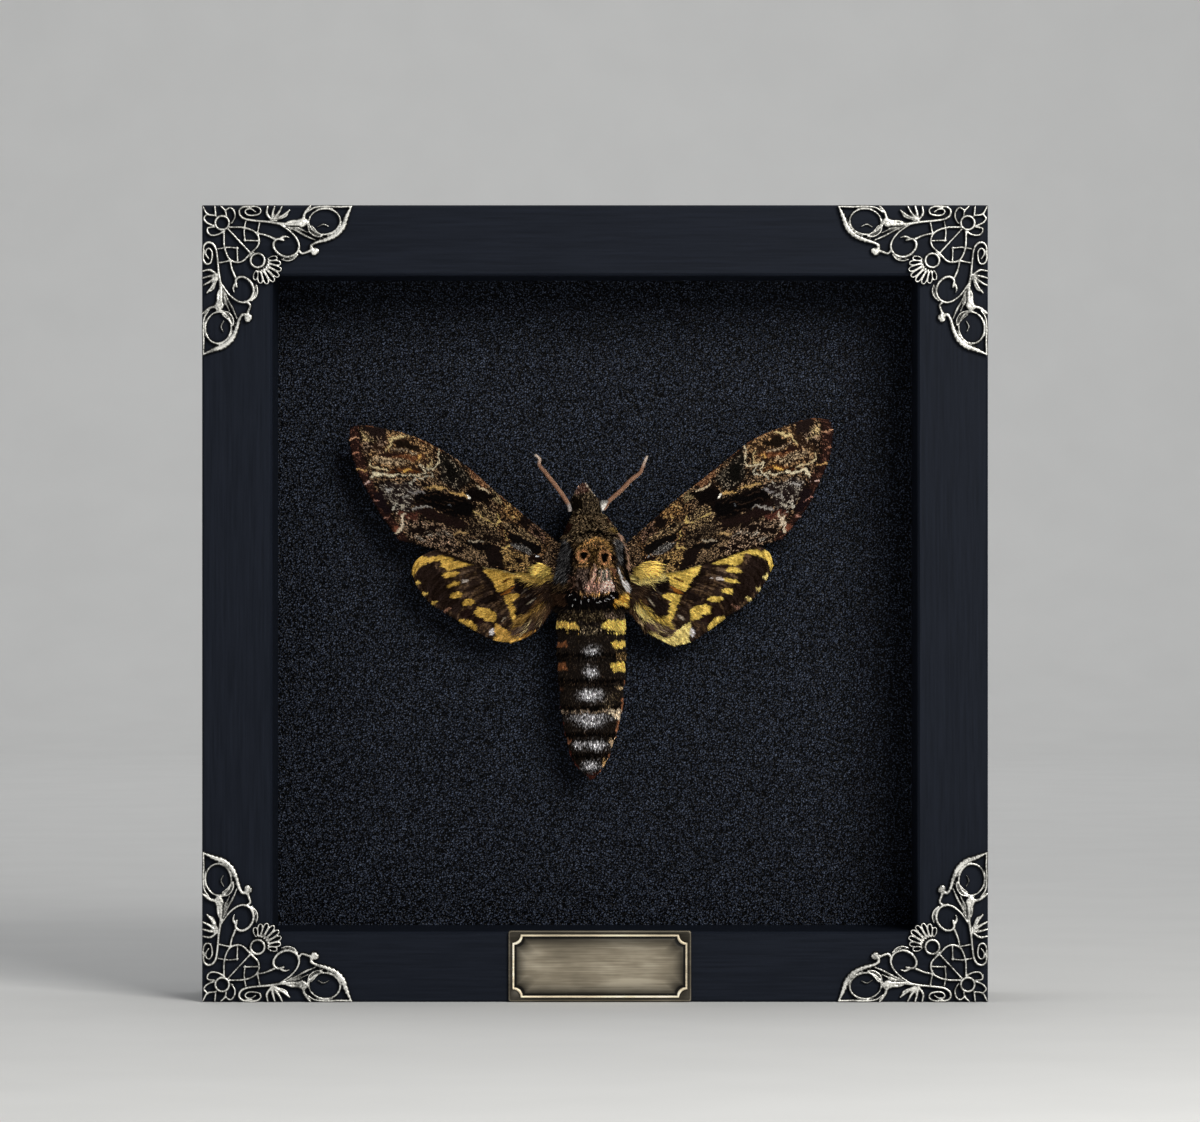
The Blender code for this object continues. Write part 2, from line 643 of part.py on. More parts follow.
def make_limbs(collection, antenna_scales, leg_scales):
    left = (
        (-4.85, -1.6, 21.2),
        (-5.1, -1.9, 22.5),
        (-6.6, -2.4, 25.0),
        (-8.7, -2.7, 27.8),
        (-10.5, -2.8, 30.1),
        (-12.0, -2.8, 32.0),
        (-11.9, -2.8, 33.3),
        (-13.0, -2.7, 34.3),
    )
    right = (
        (2.85, -1.6, 21.6),
        (4.2, -2.1, 23.6),
        (6.8, -2.5, 25.9),
        (9.4, -2.7, 28.6),
        (11.4, -2.8, 30.2),
        (12.1, -2.8, 31.9),
        (13.0, -2.7, 34.0),
    )
    tube("antenna_left", collection, left, (0.5, 0.56, 0.58, 0.58, 0.55, 0.48, 0.4, 0.28), 6, antenna_scales)
    tube("antenna_right", collection, right, (0.5, 0.56, 0.58, 0.58, 0.52, 0.42, 0.28), 6, antenna_scales)
    stations = len(LEG_RADII)
    for pair, path in LEG_PATHS:
        for side_name, side in (("left", -1.0), ("right", 1.0)):
            start = thorax_rear(side * path[0][0], path[0][2]) + GAP + 0.05
            knots = [(side * x, start + share * (LEG_Y - start), z) for x, share, z in path]
            places = [spline(knots, k / (stations - 1)) for k in range(stations)]
            tube("leg_" + pair + "_" + side_name, collection, places, LEG_RADII, 6, leg_scales)


def make_wings(collection, dark_scales, yellow_scales):
    for name, wing, side in (("forewing_left", FOREWING_LEFT, -1.0), ("forewing_right", FOREWING_RIGHT, 1.0)):
        wing_object(name, collection, wing, side, FOREWING_Y, FOREWING_VEINS, FOREWING_BANDS, dark_scales)
    for name, wing, side in (("hindwing_left", HINDWING_LEFT, -1.0), ("hindwing_right", HINDWING_RIGHT, 1.0)):
        wing_object(name, collection, wing, side, HINDWING_Y, HINDWING_VEINS, HINDWING_BANDS, yellow_scales)


def make_pad(collection, foam):
    """The block that carries the moth off the board."""
    rings = []
    for y in (THORAX[3][4] + GAP, BOARD_FRONT_Y - GAP):
        ring = []
        for k in range(16):
            angle = 2.0 * math.pi * k / 16
            ring.append((MOTH_X + 1.25 * math.cos(angle), y, MOTH_Z + 9.0 + 4.5 * math.sin(angle)))
        rings.append(ring)
    loft("mount_pad", collection, rings, foam)


def main():
    for old in list(bpy.data.objects):
        bpy.data.objects.remove(old, do_unlink=True)
    scene = bpy.context.scene
    parts = bpy.data.collections.new("deaths_head_hawkmoth")
    cutters = bpy.data.collections.new("cutters")
    scene.collection.children.link(parts)
    scene.collection.children.link(cutters)
    wood = new_material("black_painted_wood", (0.011, 0.013, 0.02), 0.5)
    leatherette = new_material("dark_leatherette", (0.008, 0.01, 0.016), 0.55)
    metal = new_material("antiqued_silver", (0.45, 0.44, 0.38), 0.35, 1.0)
    brass = new_material("antiqued_brass", (0.42, 0.33, 0.18), 0.4, 1.0)
    foam = new_material("black_foam", (0.01, 0.01, 0.012), 0.9)
    fur = new_material("thorax_fur", (0.09, 0.06, 0.03), 0.8)
    dark_eye = new_material("moth_eye", (0.01, 0.008, 0.007), 0.2)
    scales = new_material("abdomen_scales", (0.12, 0.09, 0.04), 0.75)
    antenna_scales = new_material("antenna_scales", (0.35, 0.22, 0.14), 0.7)
    leg_scales = new_material("leg_scales", (0.04, 0.03, 0.02), 0.7)
    dark_scales = new_material("forewing_scales", (0.05, 0.03, 0.02), 0.75)
    yellow_scales = new_material("hindwing_scales", (0.5, 0.33, 0.05), 0.75)
    make_frame(parts, wood, leatherette)
    make_ornaments(parts, cutters, metal)
    make_plaque(parts, brass)
    make_body(parts, cutters, fur, dark_eye, scales)
    make_limbs(parts, antenna_scales, leg_scales)
    make_wings(parts, dark_scales, yellow_scales)
    make_pad(parts, foam)
    cutters.hide_render = True


main()
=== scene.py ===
# The looks of a death's head hawkmoth in its shadow-box frame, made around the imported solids.
# Lengths are in millimetres. The moth's own origin is its waist, where thorax and abdomen meet,
# and sideways places on the body are counted from there too.

import math

import bpy
import numpy as np
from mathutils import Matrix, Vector


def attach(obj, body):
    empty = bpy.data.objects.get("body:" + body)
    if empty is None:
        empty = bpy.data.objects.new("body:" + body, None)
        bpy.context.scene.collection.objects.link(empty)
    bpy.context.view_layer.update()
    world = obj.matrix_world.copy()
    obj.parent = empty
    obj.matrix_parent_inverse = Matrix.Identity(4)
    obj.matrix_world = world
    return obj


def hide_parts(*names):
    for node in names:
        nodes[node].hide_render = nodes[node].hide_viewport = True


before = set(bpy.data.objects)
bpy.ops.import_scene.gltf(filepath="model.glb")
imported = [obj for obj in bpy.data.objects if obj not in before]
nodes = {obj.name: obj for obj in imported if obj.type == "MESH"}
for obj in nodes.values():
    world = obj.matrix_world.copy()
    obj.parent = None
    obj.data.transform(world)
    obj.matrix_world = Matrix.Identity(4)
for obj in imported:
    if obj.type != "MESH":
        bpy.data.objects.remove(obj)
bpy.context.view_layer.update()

MM = 0.001
GAP = 0.3

# Frame and metalwork, as in the solids
FRAME_WIDTH = 180.0
FRAME_HEIGHT = 182.5
WOOD_FRONT_Y = -18.25
BOARD_FRONT_Y = 9.75
BOARD_THICKNESS = 2.5
METAL_BACK_Y = WOOD_FRONT_Y - GAP
ORNAMENT_THICKNESS = 1.14
PLAQUE_LEFT = -19.8
PLAQUE_RIGHT = 22.0
PLAQUE_BOTTOM = 0.2
PLAQUE_TOP = 16.4
PLAQUE_THICKNESS = 0.8

# The moth, as in the solids
MOTH_X = -0.94
MOTH_Z = 91.3
WAIST = np.array((MOTH_X, 0.0, MOTH_Z))
FOREWING_Y = -1.6
HINDWING_Y = -0.2
THORAX = (
    (0.0, 0.0, 8.1, 6.6, 6.2),
    (2.3, -0.2, 8.6, 7.0, 6.7),
    (4.3, 0.1, 9.0, 7.3, 6.9),
    (7.6, 0.25, 8.85, 7.6, 7.0),
    (10.2, 0.5, 8.6, 7.7, 7.0),
    (12.5, 0.65, 8.25, 7.5, 6.8),
    (15.3, 0.2, 7.1, 6.8, 6.2),
    (17.7, -0.2, 5.9, 5.8, 5.4),
    (19.2, -0.4, 4.8, 5.0, 4.6),
    (20.6, -0.8, 3.7, 4.2, 3.8),
)
HEAD = (
    (20.9, -0.9, 3.5, 3.6, 3.4),
    (22.0, -1.1, 3.6, 3.9, 3.6),
    (23.5, -1.4, 3.4, 3.8, 3.6),
    (25.0, -1.7, 2.6, 3.1, 3.0),
    (26.5, -1.75, 1.6, 2.0, 2.0),
    (27.5, -1.7, 0.7, 0.8, 0.9),
)
EYE_RADIUS = 1.3
EYE_HEIGHT = 23.3
EYE_Y = 0.5
EYES = (("eye_left", -3.75), ("eye_right", 1.05))
ABDOMEN_OUTLINE = (
    (0.3, 8.0),
    (4.2, 8.15),
    (8.6, 8.05),
    (13.4, 8.1),
    (17.6, 7.85),
    (23.1, 7.4),
    (26.9, 6.85),
    (31.0, 5.9),
    (35.2, 4.7),
    (37.3, 3.7),
    (38.9, 2.4),
    (40.0, 1.2),
    (40.7, 0.5),
)
ABDOMEN_SHIFT = ((0.3, 0.0), (13.0, 0.1), (24.0, 0.15), (31.0, -0.05), (37.0, -0.3), (40.0, 0.15))
SEGMENT_ENDS = (1.9, 6.8, 12.8, 18.8, 25.1, 31.3, 36.1, 39.4, 40.7)
ABDOMEN_DEPTH_SHARE = 0.84
FOREWING_LEFT = {
    "base": (8.8, 13.4),
    "rise": 29.3,
    "root": (13.9, 6.4),
    "costa": ((8.7, 2.7), (17.6, 4.4), (26.4, 6.2), (34.3, 6.7), (41.9, 6.0), (48.6, 4.1), (53.2, 2.1),
              (54.5, 0.0)),
    "outer": ((53.2, -2.4), (49.1, -6.8), (44.8, -9.7), (39.0, -13.1), (34.0, -15.3), (31.4, -16.6)),
    "inner": ((6.3, -10.3), (10.3, -11.9), (15.6, -12.9), (21.3, -13.9), (26.5, -15.2)),
}
FOREWING_RIGHT = {
    "base": (9.0, 13.2),
    "rise": 31.7,
    "root": (13.9, 6.4),
    "costa": ((8.0, 2.4), (15.6, 3.7), (22.3, 4.4), (30.3, 5.4), (37.0, 6.1), (44.3, 5.1), (51.3, 3.2),
              (55.2, 0.3)),
    "outer": ((54.1, -2.9), (49.8, -7.6), (45.2, -10.7), (40.2, -13.9), (34.7, -15.9), (30.8, -17.2)),
    "inner": ((6.8, -11.0), (10.0, -11.8), (16.9, -13.6), (21.4, -14.8), (25.9, -16.0)),
}
HINDWING_LEFT = {
    "base": (8.1, 7.2),
    "rise": 0.0,
    "root": (8.4, 1.6),
    "costa": ((5.0, 2.6), (12.0, 4.0), (20.0, 5.4), (26.0, 5.6), (29.9, 4.5), (32.6, 2.6), (33.7, -0.2)),
    "outer": ((32.5, -3.7), (29.0, -7.8), (22.9, -11.4), (17.6, -14.4), (13.5, -16.0), (9.8, -16.2)),
    "inner": ((1.0, -8.2), (2.3, -11.1), (3.6, -13.3), (4.8, -14.4), (7.2, -15.6)),
}
HINDWING_RIGHT = {
    "base": (8.6, 7.2),
    "rise": 0.0,
    "root": (8.4, 1.6),
    "costa": ((5.0, 2.8), (12.0, 4.2), (20.0, 5.6), (27.0, 6.6), (30.6, 6.0), (33.0, 4.2), (33.8, 0.9)),
    "outer": ((31.8, -3.0), (29.0, -6.7), (23.4, -10.4), (19.0, -13.5), (14.6, -16.2), (10.0, -17.2)),
    "inner": ((0.3, -9.0), (2.1, -12.1), (3.2, -13.8), (6.0, -15.5), (8.0, -16.6)),
}
FOREWING_VEINS = (0.0, 0.07, 0.2, 0.34, 0.48, 0.62, 0.77, 0.91, 1.0)
HINDWING_VEINS = (0.0, 0.1, 0.27, 0.43, 0.59, 0.75, 0.9, 1.0)
ANTENNA_LEFT = (
    (-4.85, -1.6, 21.2),
    (-5.1, -1.9, 22.5),
    (-6.6, -2.4, 25.0),
    (-8.7, -2.7, 27.8),
    (-10.5, -2.8, 30.1),
    (-12.0, -2.8, 32.0),
    (-11.9, -2.8, 33.3),
    (-13.0, -2.7, 34.3),
)
ANTENNA_RIGHT = (
    (2.85, -1.6, 21.6),
    (4.2, -2.1, 23.6),
    (6.8, -2.5, 25.9),
    (9.4, -2.7, 28.6),
    (11.4, -2.8, 30.2),
    (12.1, -2.8, 31.9),
    (13.0, -2.7, 34.0),
)

# Sizes that only the looks use
THORAX_COAT = 0.9
HEAD_COAT = 0.5
ABDOMEN_COAT = 0.45
MEMBRANE_HALF = 0.13
FOREWING_SIZE = (55.0, 22.0)
HINDWING_SIZE = (34.0, 20.0)
WING_STEP = 0.22
SKIN_SIDES = 112
SKIN_ROWS = 240
CORD_HEIGHT = 1.05
CORD_TWIST = 0.16
BAND_SHARE = 1.34
BAKE_PATCH = 0.0015
SHARP_ANGLE = math.radians(50.0)
FORWARD = np.array((0.0, -1.0, 0.0))
CORNERS = (("top_left", -1.0, 1.0), ("top_right", 1.0, 1.0), ("bottom_left", -1.0, -1.0),
           ("bottom_right", 1.0, -1.0))

# Camera and studio, in metres
CAMERA_PLACE = (0.00114, -1.51825, 0.101)
CAMERA_LENS = 196.5
SENSOR_WIDTH = 36.0


def ink(red, green, blue):
    """A linear colour from the 0 to 255 values of a screen colour."""
    share = np.array((red, green, blue)) / 255.0
    return np.where(share > 0.04045, ((share + 0.055) / 1.055) ** 2.4, share / 12.92)


def smooth(value):
    share = np.clip(value, 0.0, 1.0)
    return share * share * (3.0 - 2.0 * share)


def noise(x, y, seed, size=128):
    """Smooth random values from 0 to 1 over a plane, about one bump to a unit."""
    lattice = np.random.RandomState(seed).rand(size, size)
    left, low = np.floor(x).astype(int), np.floor(y).astype(int)
    across, up = smooth(x - left), smooth(y - low)
    west, east = left % size, (left + 1) % size
    south, north = low % size, (low + 1) % size
    below = lattice[west, south] * (1 - across) + lattice[east, south] * across
    above = lattice[west, north] * (1 - across) + lattice[east, north] * across
    return below * (1 - up) + above * up


def grains(u, v, long, high, seed, random, loose=0.12):
    """Values spread evenly from 0 to 1, alike within clumps of about this length and height.

    random adds chance to each value, and loose says how much.
    """
    value = noise(u / long + 7.0, v / high + 3.0, seed) + loose * random
    value += 0.6 * noise((u + v) / (1.4 * long) + 61.0, (u - v) / (1.4 * high) + 67.0, seed + 1)
    rank = np.empty(len(value))
    rank[np.argsort(value)] = (np.arange(len(value)) + 0.5) / len(value)
    return rank


class Canvas:
    """Colours at many places of a surface, laid over one another in soft-edged marks.

    Marks are given in the units of the scale, so that a wing's may be in hundredths of its length and width.
    Over the ground lie pale scales, thick or thin on it: dust is their colour and share how much they cover.
    """

    def __init__(self, u, v, ground, scale=(1.0, 1.0), grit=None, ragged=0.56):
        self.u = u
        self.v = v
        self.scale = np.array(scale)
        self.colour = np.tile(ink(*ground), (len(u), 1))
        self.dust = self.colour.copy()
        self.share = np.zeros(len(u))
        self.grit = grit
        self.ragged = ragged

    def broken(self, cover):
        """Breaks a mark's soft edge into single scales that are either covered or bare."""
        if self.grit is None:
            return cover
        return smooth((cover - 0.5 - self.ragged * (self.grit - 0.5)) / 0.3 + 0.5)

    def lay(self, mask, colour, strength=1.0):
        """A solid mark. It covers the scales under it."""
        cover = self.broken(mask * strength)
        self.colour += cover[:, None] * (ink(*colour) - self.colour)
        self.share *= 1.0 - cover

    def sprinkle(self, mask, colour, share):
        """Pale scales, sparse or dense."""
        self.dust += mask[:, None] * (ink(*colour) - self.dust)
        self.share += mask * (share - self.share)

    def mottle(self, mask, colour, strength, dust, share):
        """A solid mark with pale scales over it."""
        self.lay(mask, colour, strength)
        self.sprinkle(mask, dust, share)

    def flecked(self, fleck):
        """The colours once the pale scales lie where fleck, from 0 to 1, is under their share."""
        cover = smooth((self.share - fleck) / (0.8 * self.share + 0.02))[:, None]
        return self.colour + cover * (self.dust - self.colour)

    def near(self, start, end):
        """Distance to a straight stretch, and the share of the way along it."""
        u0, v0 = np.array(start) * self.scale
        du, dv = np.array(end) * self.scale - (u0, v0)
        share = np.clip(((self.u - u0) * du + (self.v - v0) * dv) / max(du * du + dv * dv, 1e-9), 0.0, 1.0)
        return np.hypot(self.u - u0 - share * du, self.v - v0 - share * dv), share

    def stroke(self, path, soft=0.25):
        """A line that swells and tapers: each place has a half width as its third value."""
        inside = np.full(self.u.shape, -1e3)
        for (u0, v0, w0), (u1, v1, w1) in zip(path, path[1:]):
            distance, share = self.near((u0, v0), (u1, v1))
            inside = np.maximum(inside, w0 + share * (w1 - w0) - distance)
        return smooth(inside / soft + 0.5)

    def area(self, corners, soft=0.6):
        """A filled outline."""
        inside = np.zeros(self.u.shape, bool)
        nearest = np.full(self.u.shape, 1e3)
        for start, end in zip(corners, corners[1:] + corners[:1]):
            distance, _ = self.near(start, end)
            nearest = np.minimum(nearest, distance)
            u0, v0 = np.array(start) * self.scale
            u1, v1 = np.array(end) * self.scale
            if v0 != v1:
                crosses = (v0 > self.v) != (v1 > self.v)
                inside ^= crosses & (self.u < u0 + (self.v - v0) / (v1 - v0) * (u1 - u0))
        return smooth(np.where(inside, nearest, -nearest) / soft + 0.5)

    def spot(self, u, v, wide, high, soft=0.3):
        """An oval, its half width and half height in the units of the scale."""
        reach = np.array((wide, high)) * self.scale
        round_share = np.hypot((self.u - u * self.scale[0]) / reach[0],
                               (self.v - v * self.scale[1]) / reach[1])
        return smooth((1.0 - round_share) * reach.min() / soft + 0.5)


def spline(points, shares):
    """Places on the smooth curve through the points, at shares of its chord length."""
    knots = np.asarray(points, float)
    steps = np.linalg.norm(np.diff(knots, axis=0), axis=1)
    along = np.concatenate([[0.0], np.cumsum(steps)])
    place = np.asarray(shares, float) * along[-1]
    i = np.clip(np.searchsorted(along, place, side="right") - 1, 0, len(steps) - 1)
    t = ((place - along[i]) / steps[i])[:, None]
    low = np.maximum(np.arange(len(knots)) - 1, 0)
    high = np.minimum(np.arange(len(knots)) + 1, len(knots) - 1)
    slopes = (knots[high] - knots[low]) / (along[high] - along[low])[:, None]
    reach = steps[i][:, None]
    return (
        (2 * t**3 - 3 * t**2 + 1) * knots[i]
        + (t**3 - 2 * t**2 + t) * slopes[i] * reach
        + (3 * t**2 - 2 * t**3) * knots[i + 1]
        + (t**3 - t**2) * slopes[i + 1] * reach
    )


def grid_faces(rows, columns, closed=False, first=0, turned=False):
    """Four-sided faces between the points of a grid that is stored row by row."""
    i = np.arange(rows - 1)[:, None] * columns
    k = np.arange(columns if closed else columns - 1)[None, :]
    after = (k + 1) % columns
    quads = np.stack([i + k, i + after, i + columns + after, i + columns + k], axis=-1).reshape(-1, 4) + first
    return quads[:, ::-1] if turned else quads


def fan_faces(centre, ring, turned=False):
    """Triangles from one point to a closed ring of points."""
    ring = np.asarray(ring)
    after = np.roll(ring, -1)
    middle = np.full(len(ring), centre)
    faces = np.stack([middle, ring, after], axis=-1)
    return faces[:, ::-1] if turned else faces


def tube_faces(rows, sides):
    """Faces of a closed tube of rings whose two end points are stored after the rings."""
    count = rows * sides
    ring = np.arange(sides)
    return [
        grid_faces(rows, sides, closed=True),
        fan_faces(count, ring, turned=True),
        fan_faces(count + 1, count - sides + ring),
    ]


def rim_faces(rows, columns, turned=False):
    """Faces that join the rim of a grid of points to the rim of the like grid that is stored after it."""
    rim = np.concatenate([
        np.arange(columns),
        np.arange(1, rows) * columns + columns - 1,
        (rows - 1) * columns + np.arange(columns - 2, -1, -1),
        np.arange(rows - 2, 0, -1) * columns,
    ])
    after = np.roll(rim, -1)
    count = rows * columns
    faces = np.stack([rim, rim + count, after + count, after], axis=-1)
    return faces[:, ::-1] if turned else faces


def mesh_piece(name, points, faces, material, paint=None, patches=None):
    """A mesh object from millimetres.

    faces is a list of arrays. paint holds a colour and patches a place on the map for each point.
    """
    mesh = bpy.data.meshes.new(name)
    mesh.vertices.add(len(points))
    mesh.vertices.foreach_set("co", (np.asarray(points) * MM).astype(np.float32).ravel())
    corners = np.concatenate([np.ravel(group) for group in faces]).astype(np.int32)
    counts = np.concatenate([np.full(len(group), group.shape[1]) for group in faces])
    starts = np.concatenate([[0], np.cumsum(counts)[:-1]]).astype(np.int32)
    mesh.loops.add(len(corners))
    mesh.loops.foreach_set("vertex_index", corners)
    mesh.polygons.add(len(counts))
    mesh.polygons.foreach_set("loop_start", starts)
    mesh.update(calc_edges=True)
    if paint is not None:
        layer = mesh.color_attributes.new("paint", "FLOAT_COLOR", "POINT")
        full = np.column_stack([np.clip(paint, 0.0, 4.0), np.ones(len(points))])
        layer.data.foreach_set("color", full.astype(np.float32).ravel())
    if patches is not None:
        layer = mesh.uv_layers.new(name="OFBake")
        layer.data.foreach_set("uv", patches[corners].astype(np.float32).ravel())
    mesh.shade_smooth()
    mesh.materials.append(material)
    made = bpy.data.objects.new(name, mesh)
    bpy.context.scene.collection.objects.link(made)
    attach(made, "root")
    return made


# per-point multipliers of a tuft's paint from root to tip: painted shade at the roots and a painted highlight
# at the tips
SOFT_ROOT_SHADE_TIP_LIGHT = (0.7, 0.7, 0.75, 0.95, 0.95, 1.0, 1.15)
DEEP_ROOT_SHADE_TIP_LIGHT = (0.25, 0.25, 0.3, 0.8, 0.8, 1.0, 1.45)


def tufts(name, root, way, normal, length, width, thick, lift, paint, place, material, sink=0.12,
          shading_tones=DEEP_ROOT_SHADE_TIP_LIGHT):
    """Many tapered closed tufts in one mesh, each bent once, lying along way and rising from the surface."""
    way = way / np.linalg.norm(way, axis=1, keepdims=True)
    side = np.cross(way, normal)
    side /= np.linalg.norm(side, axis=1, keepdims=True)
    length, width, thick, lift = [
        np.broadcast_to(value, len(root))[:, None] for value in (length, width, thick, lift)
    ]
    rings = []
    for centre, share in (
        (root - sink * normal, 1.0),
        (root + way * length * 0.5 + normal * lift * 0.75, 0.8),
    ):
        rings.append(centre - side * width * share * 0.5)
        rings.append(centre + side * width * share * 0.5)
        rings.append(centre + normal * thick * share)
    tip = root + way * length + normal * lift
    points = np.stack(rings + [tip], axis=1)
    pattern = np.array((
        (0, 2, 1), (0, 1, 4), (0, 4, 3), (1, 2, 5), (1, 5, 4),
        (2, 0, 3), (2, 3, 5), (3, 4, 6), (4, 5, 6), (5, 3, 6),
    ))
    faces = (pattern[None] + np.arange(len(root))[:, None, None] * points.shape[1]).reshape(-1, 3)
    # painted shade and highlight along each tuft, the painted shade also made warmer
    depths = np.array(shading_tones)[:, None] ** np.array((1.0, 1.08, 1.2))
    shades = (paint[:, None, :] * depths[None]).reshape(-1, 3)
    spread = np.array(((-1, -1), (1, -1), (0, -0.6), (-1, 0), (1, 0), (0, 0.3), (0, 1))) * BAKE_PATCH
    patches = (place[:, None, :] + spread[None]).reshape(-1, 2)
    return mesh_piece(name, points.reshape(-1, 3), [faces], material, shades, np.clip(patches, 0.0, 1.0))


def stands_for(piece, slot, *names):
    if names:
        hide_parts(*names)
    return piece


# Materials


class Surface:
    """A Principled material with helpers to wire the nodes that vary it."""

    def __init__(self, name, **constants):
        self.material = bpy.data.materials.new(name)
        self.material.use_nodes = True
        self.tree = self.material.node_tree
        self.shader = self.tree.nodes["Principled BSDF"]
        for label, value in constants.items():
            self.shader.inputs[label.replace("_", " ")].default_value = value

    def add(self, kind, **settings):
        node = self.tree.nodes.new(kind)
        for label, value in settings.items():
            if hasattr(node, label):
                setattr(node, label, value)
            else:
                node.inputs[label.replace("_", " ")].default_value = value
        return node

    def link(self, source, output, target, socket):
        self.tree.links.new(source.outputs[output], target.inputs[socket])

    def places(self, stretch=(1.0, 1.0, 1.0)):
        """Places on the piece in millimetres, shrunk along an axis to draw a pattern out."""
        spot = self.add("ShaderNodeTexCoord")
        shape = self.add("ShaderNodeMapping")
        shape.inputs["Scale"].default_value = [share / MM for share in stretch]
        self.link(spot, "Object", shape, "Vector")
        return shape

    def grain(self, size, detail=3.0, stretch=(1.0, 1.0, 1.0)):
        """Noise whose bumps are about this many millimetres wide."""
        texture = self.add("ShaderNodeTexNoise", Scale=1.0 / size, Detail=detail)
        self.link(self.places(stretch), "Vector", texture, "Vector")
        return texture

    def ramp(self, source, output, stops):
        """Colours along a value; stops are pairs of place and linear colour."""
        node = self.add("ShaderNodeValToRGB")
        elements = node.color_ramp.elements
        while len(elements) < len(stops):
            elements.new(0.5)
        for element, (place, colour) in zip(elements, stops):
            element.position = place
            element.color = (*colour, 1.0)
        self.link(source, output, node, "Fac")
        return node

    def bump(self, source, output, height, strength=1.0):
        node = self.add("ShaderNodeBump", Strength=strength, Distance=height * MM)
        self.link(source, output, node, "Height")
        self.link(node, "Normal", self.shader, "Normal")
        return node

    def summed(self, source, output, factor, other, other_output):
        """A value times a factor, plus another value."""
        node = self.add("ShaderNodeMath", operation="MULTIPLY_ADD")
        node.inputs[1].default_value = factor
        self.link(source, output, node, 0)
        self.link(other, other_output, node, 2)
        return node

    def colour(self, source, output):
        self.link(source, output, self.shader, "Base Color")

    def colour_product(self, first, second):
        """The base colour as the product of two colours."""
        mix = self.add("ShaderNodeMix", data_type="RGBA", blend_type="MULTIPLY")
        mix.inputs["Factor"].default_value = 1.0
        self.link(first, "Color", mix, "A")
        self.link(second, "Color", mix, "B")
        self.colour(mix, "Result")

    def roughened(self, source, output, low, high, **limits):
        """Roughness that runs from low to high along a value."""
        rough = self.add("ShaderNodeMapRange", To_Min=low, To_Max=high, **limits)
        self.link(source, output, rough, "Value")
        self.link(rough, "Result", self.shader, "Roughness")


def painted_scales(name, roughness, gloss, fleck, relief):
    """Insect scales: the piece's own painted colours, broken up by fine flecks and relief."""
    made = Surface(name, Roughness=roughness, Specular_IOR_Level=gloss)
    paint = made.add("ShaderNodeAttribute", attribute_name="paint")
    grain = made.grain(fleck)
    tone = made.ramp(grain, "Fac", ((0.34, (0.46, 0.45, 0.44)), (0.66, (1.6, 1.6, 1.6))))
    made.colour_product(paint, tone)
    made.bump(grain, "Fac", relief)
    return made.material


def black_paint(name, stretch):
    """Satin black paint with faint brush marks drawn out along the rail."""
    made = Surface(name, Specular_IOR_Level=0.08)
    brush = made.grain(0.5, 4.0, stretch)
    tone = made.ramp(brush, "Fac", ((0.3, (0.006, 0.0082, 0.0138)), (0.7, (0.0098, 0.0128, 0.021))))
    made.colour(tone, "Color")
    made.roughened(brush, "Fac", 0.4, 0.6)
    made.bump(brush, "Fac", 0.05, 0.6)
    return made.material


def pebbled_leatherette():
    """Blue-black leatherette pressed with a fine irregular pebble, painted lighter on the pebble tops as a
    highlight and near black in the creases as shade.
    """
    made = Surface("pebbled_leatherette", Roughness=0.3, Specular_IOR_Level=0.06)
    bent = made.add("ShaderNodeVectorMath", operation="ADD")
    made.link(made.places(), "Vector", bent, 0)
    made.link(made.grain(1.1, 1.0), "Color", bent, 1)
    cells = made.add("ShaderNodeTexVoronoi", Scale=1.0 / 0.46, Randomness=0.85)
    made.link(bent, "Vector", cells, "Vector")
    # painted highlight on each pebble's top and painted shade in the creases between them
    stops = ((0.08, (0.076, 0.093, 0.134)), (0.32, (0.0138, 0.018, 0.0305)), (0.54, (0.0003, 0.0004, 0.0008)))
    tone = made.ramp(cells, "Distance", stops)
    glint = made.ramp(cells, "Color", ((0.25, (0.6, 0.6, 0.6)), (0.75, (1.6, 1.6, 1.6))))
    made.colour_product(tone, glint)
    height = made.add("ShaderNodeMath", operation="SUBTRACT")
    height.inputs[0].default_value = 1.0
    made.link(cells, "Distance", height, 1)
    made.bump(height, "Value", 0.16, 0.9)
    return made.material


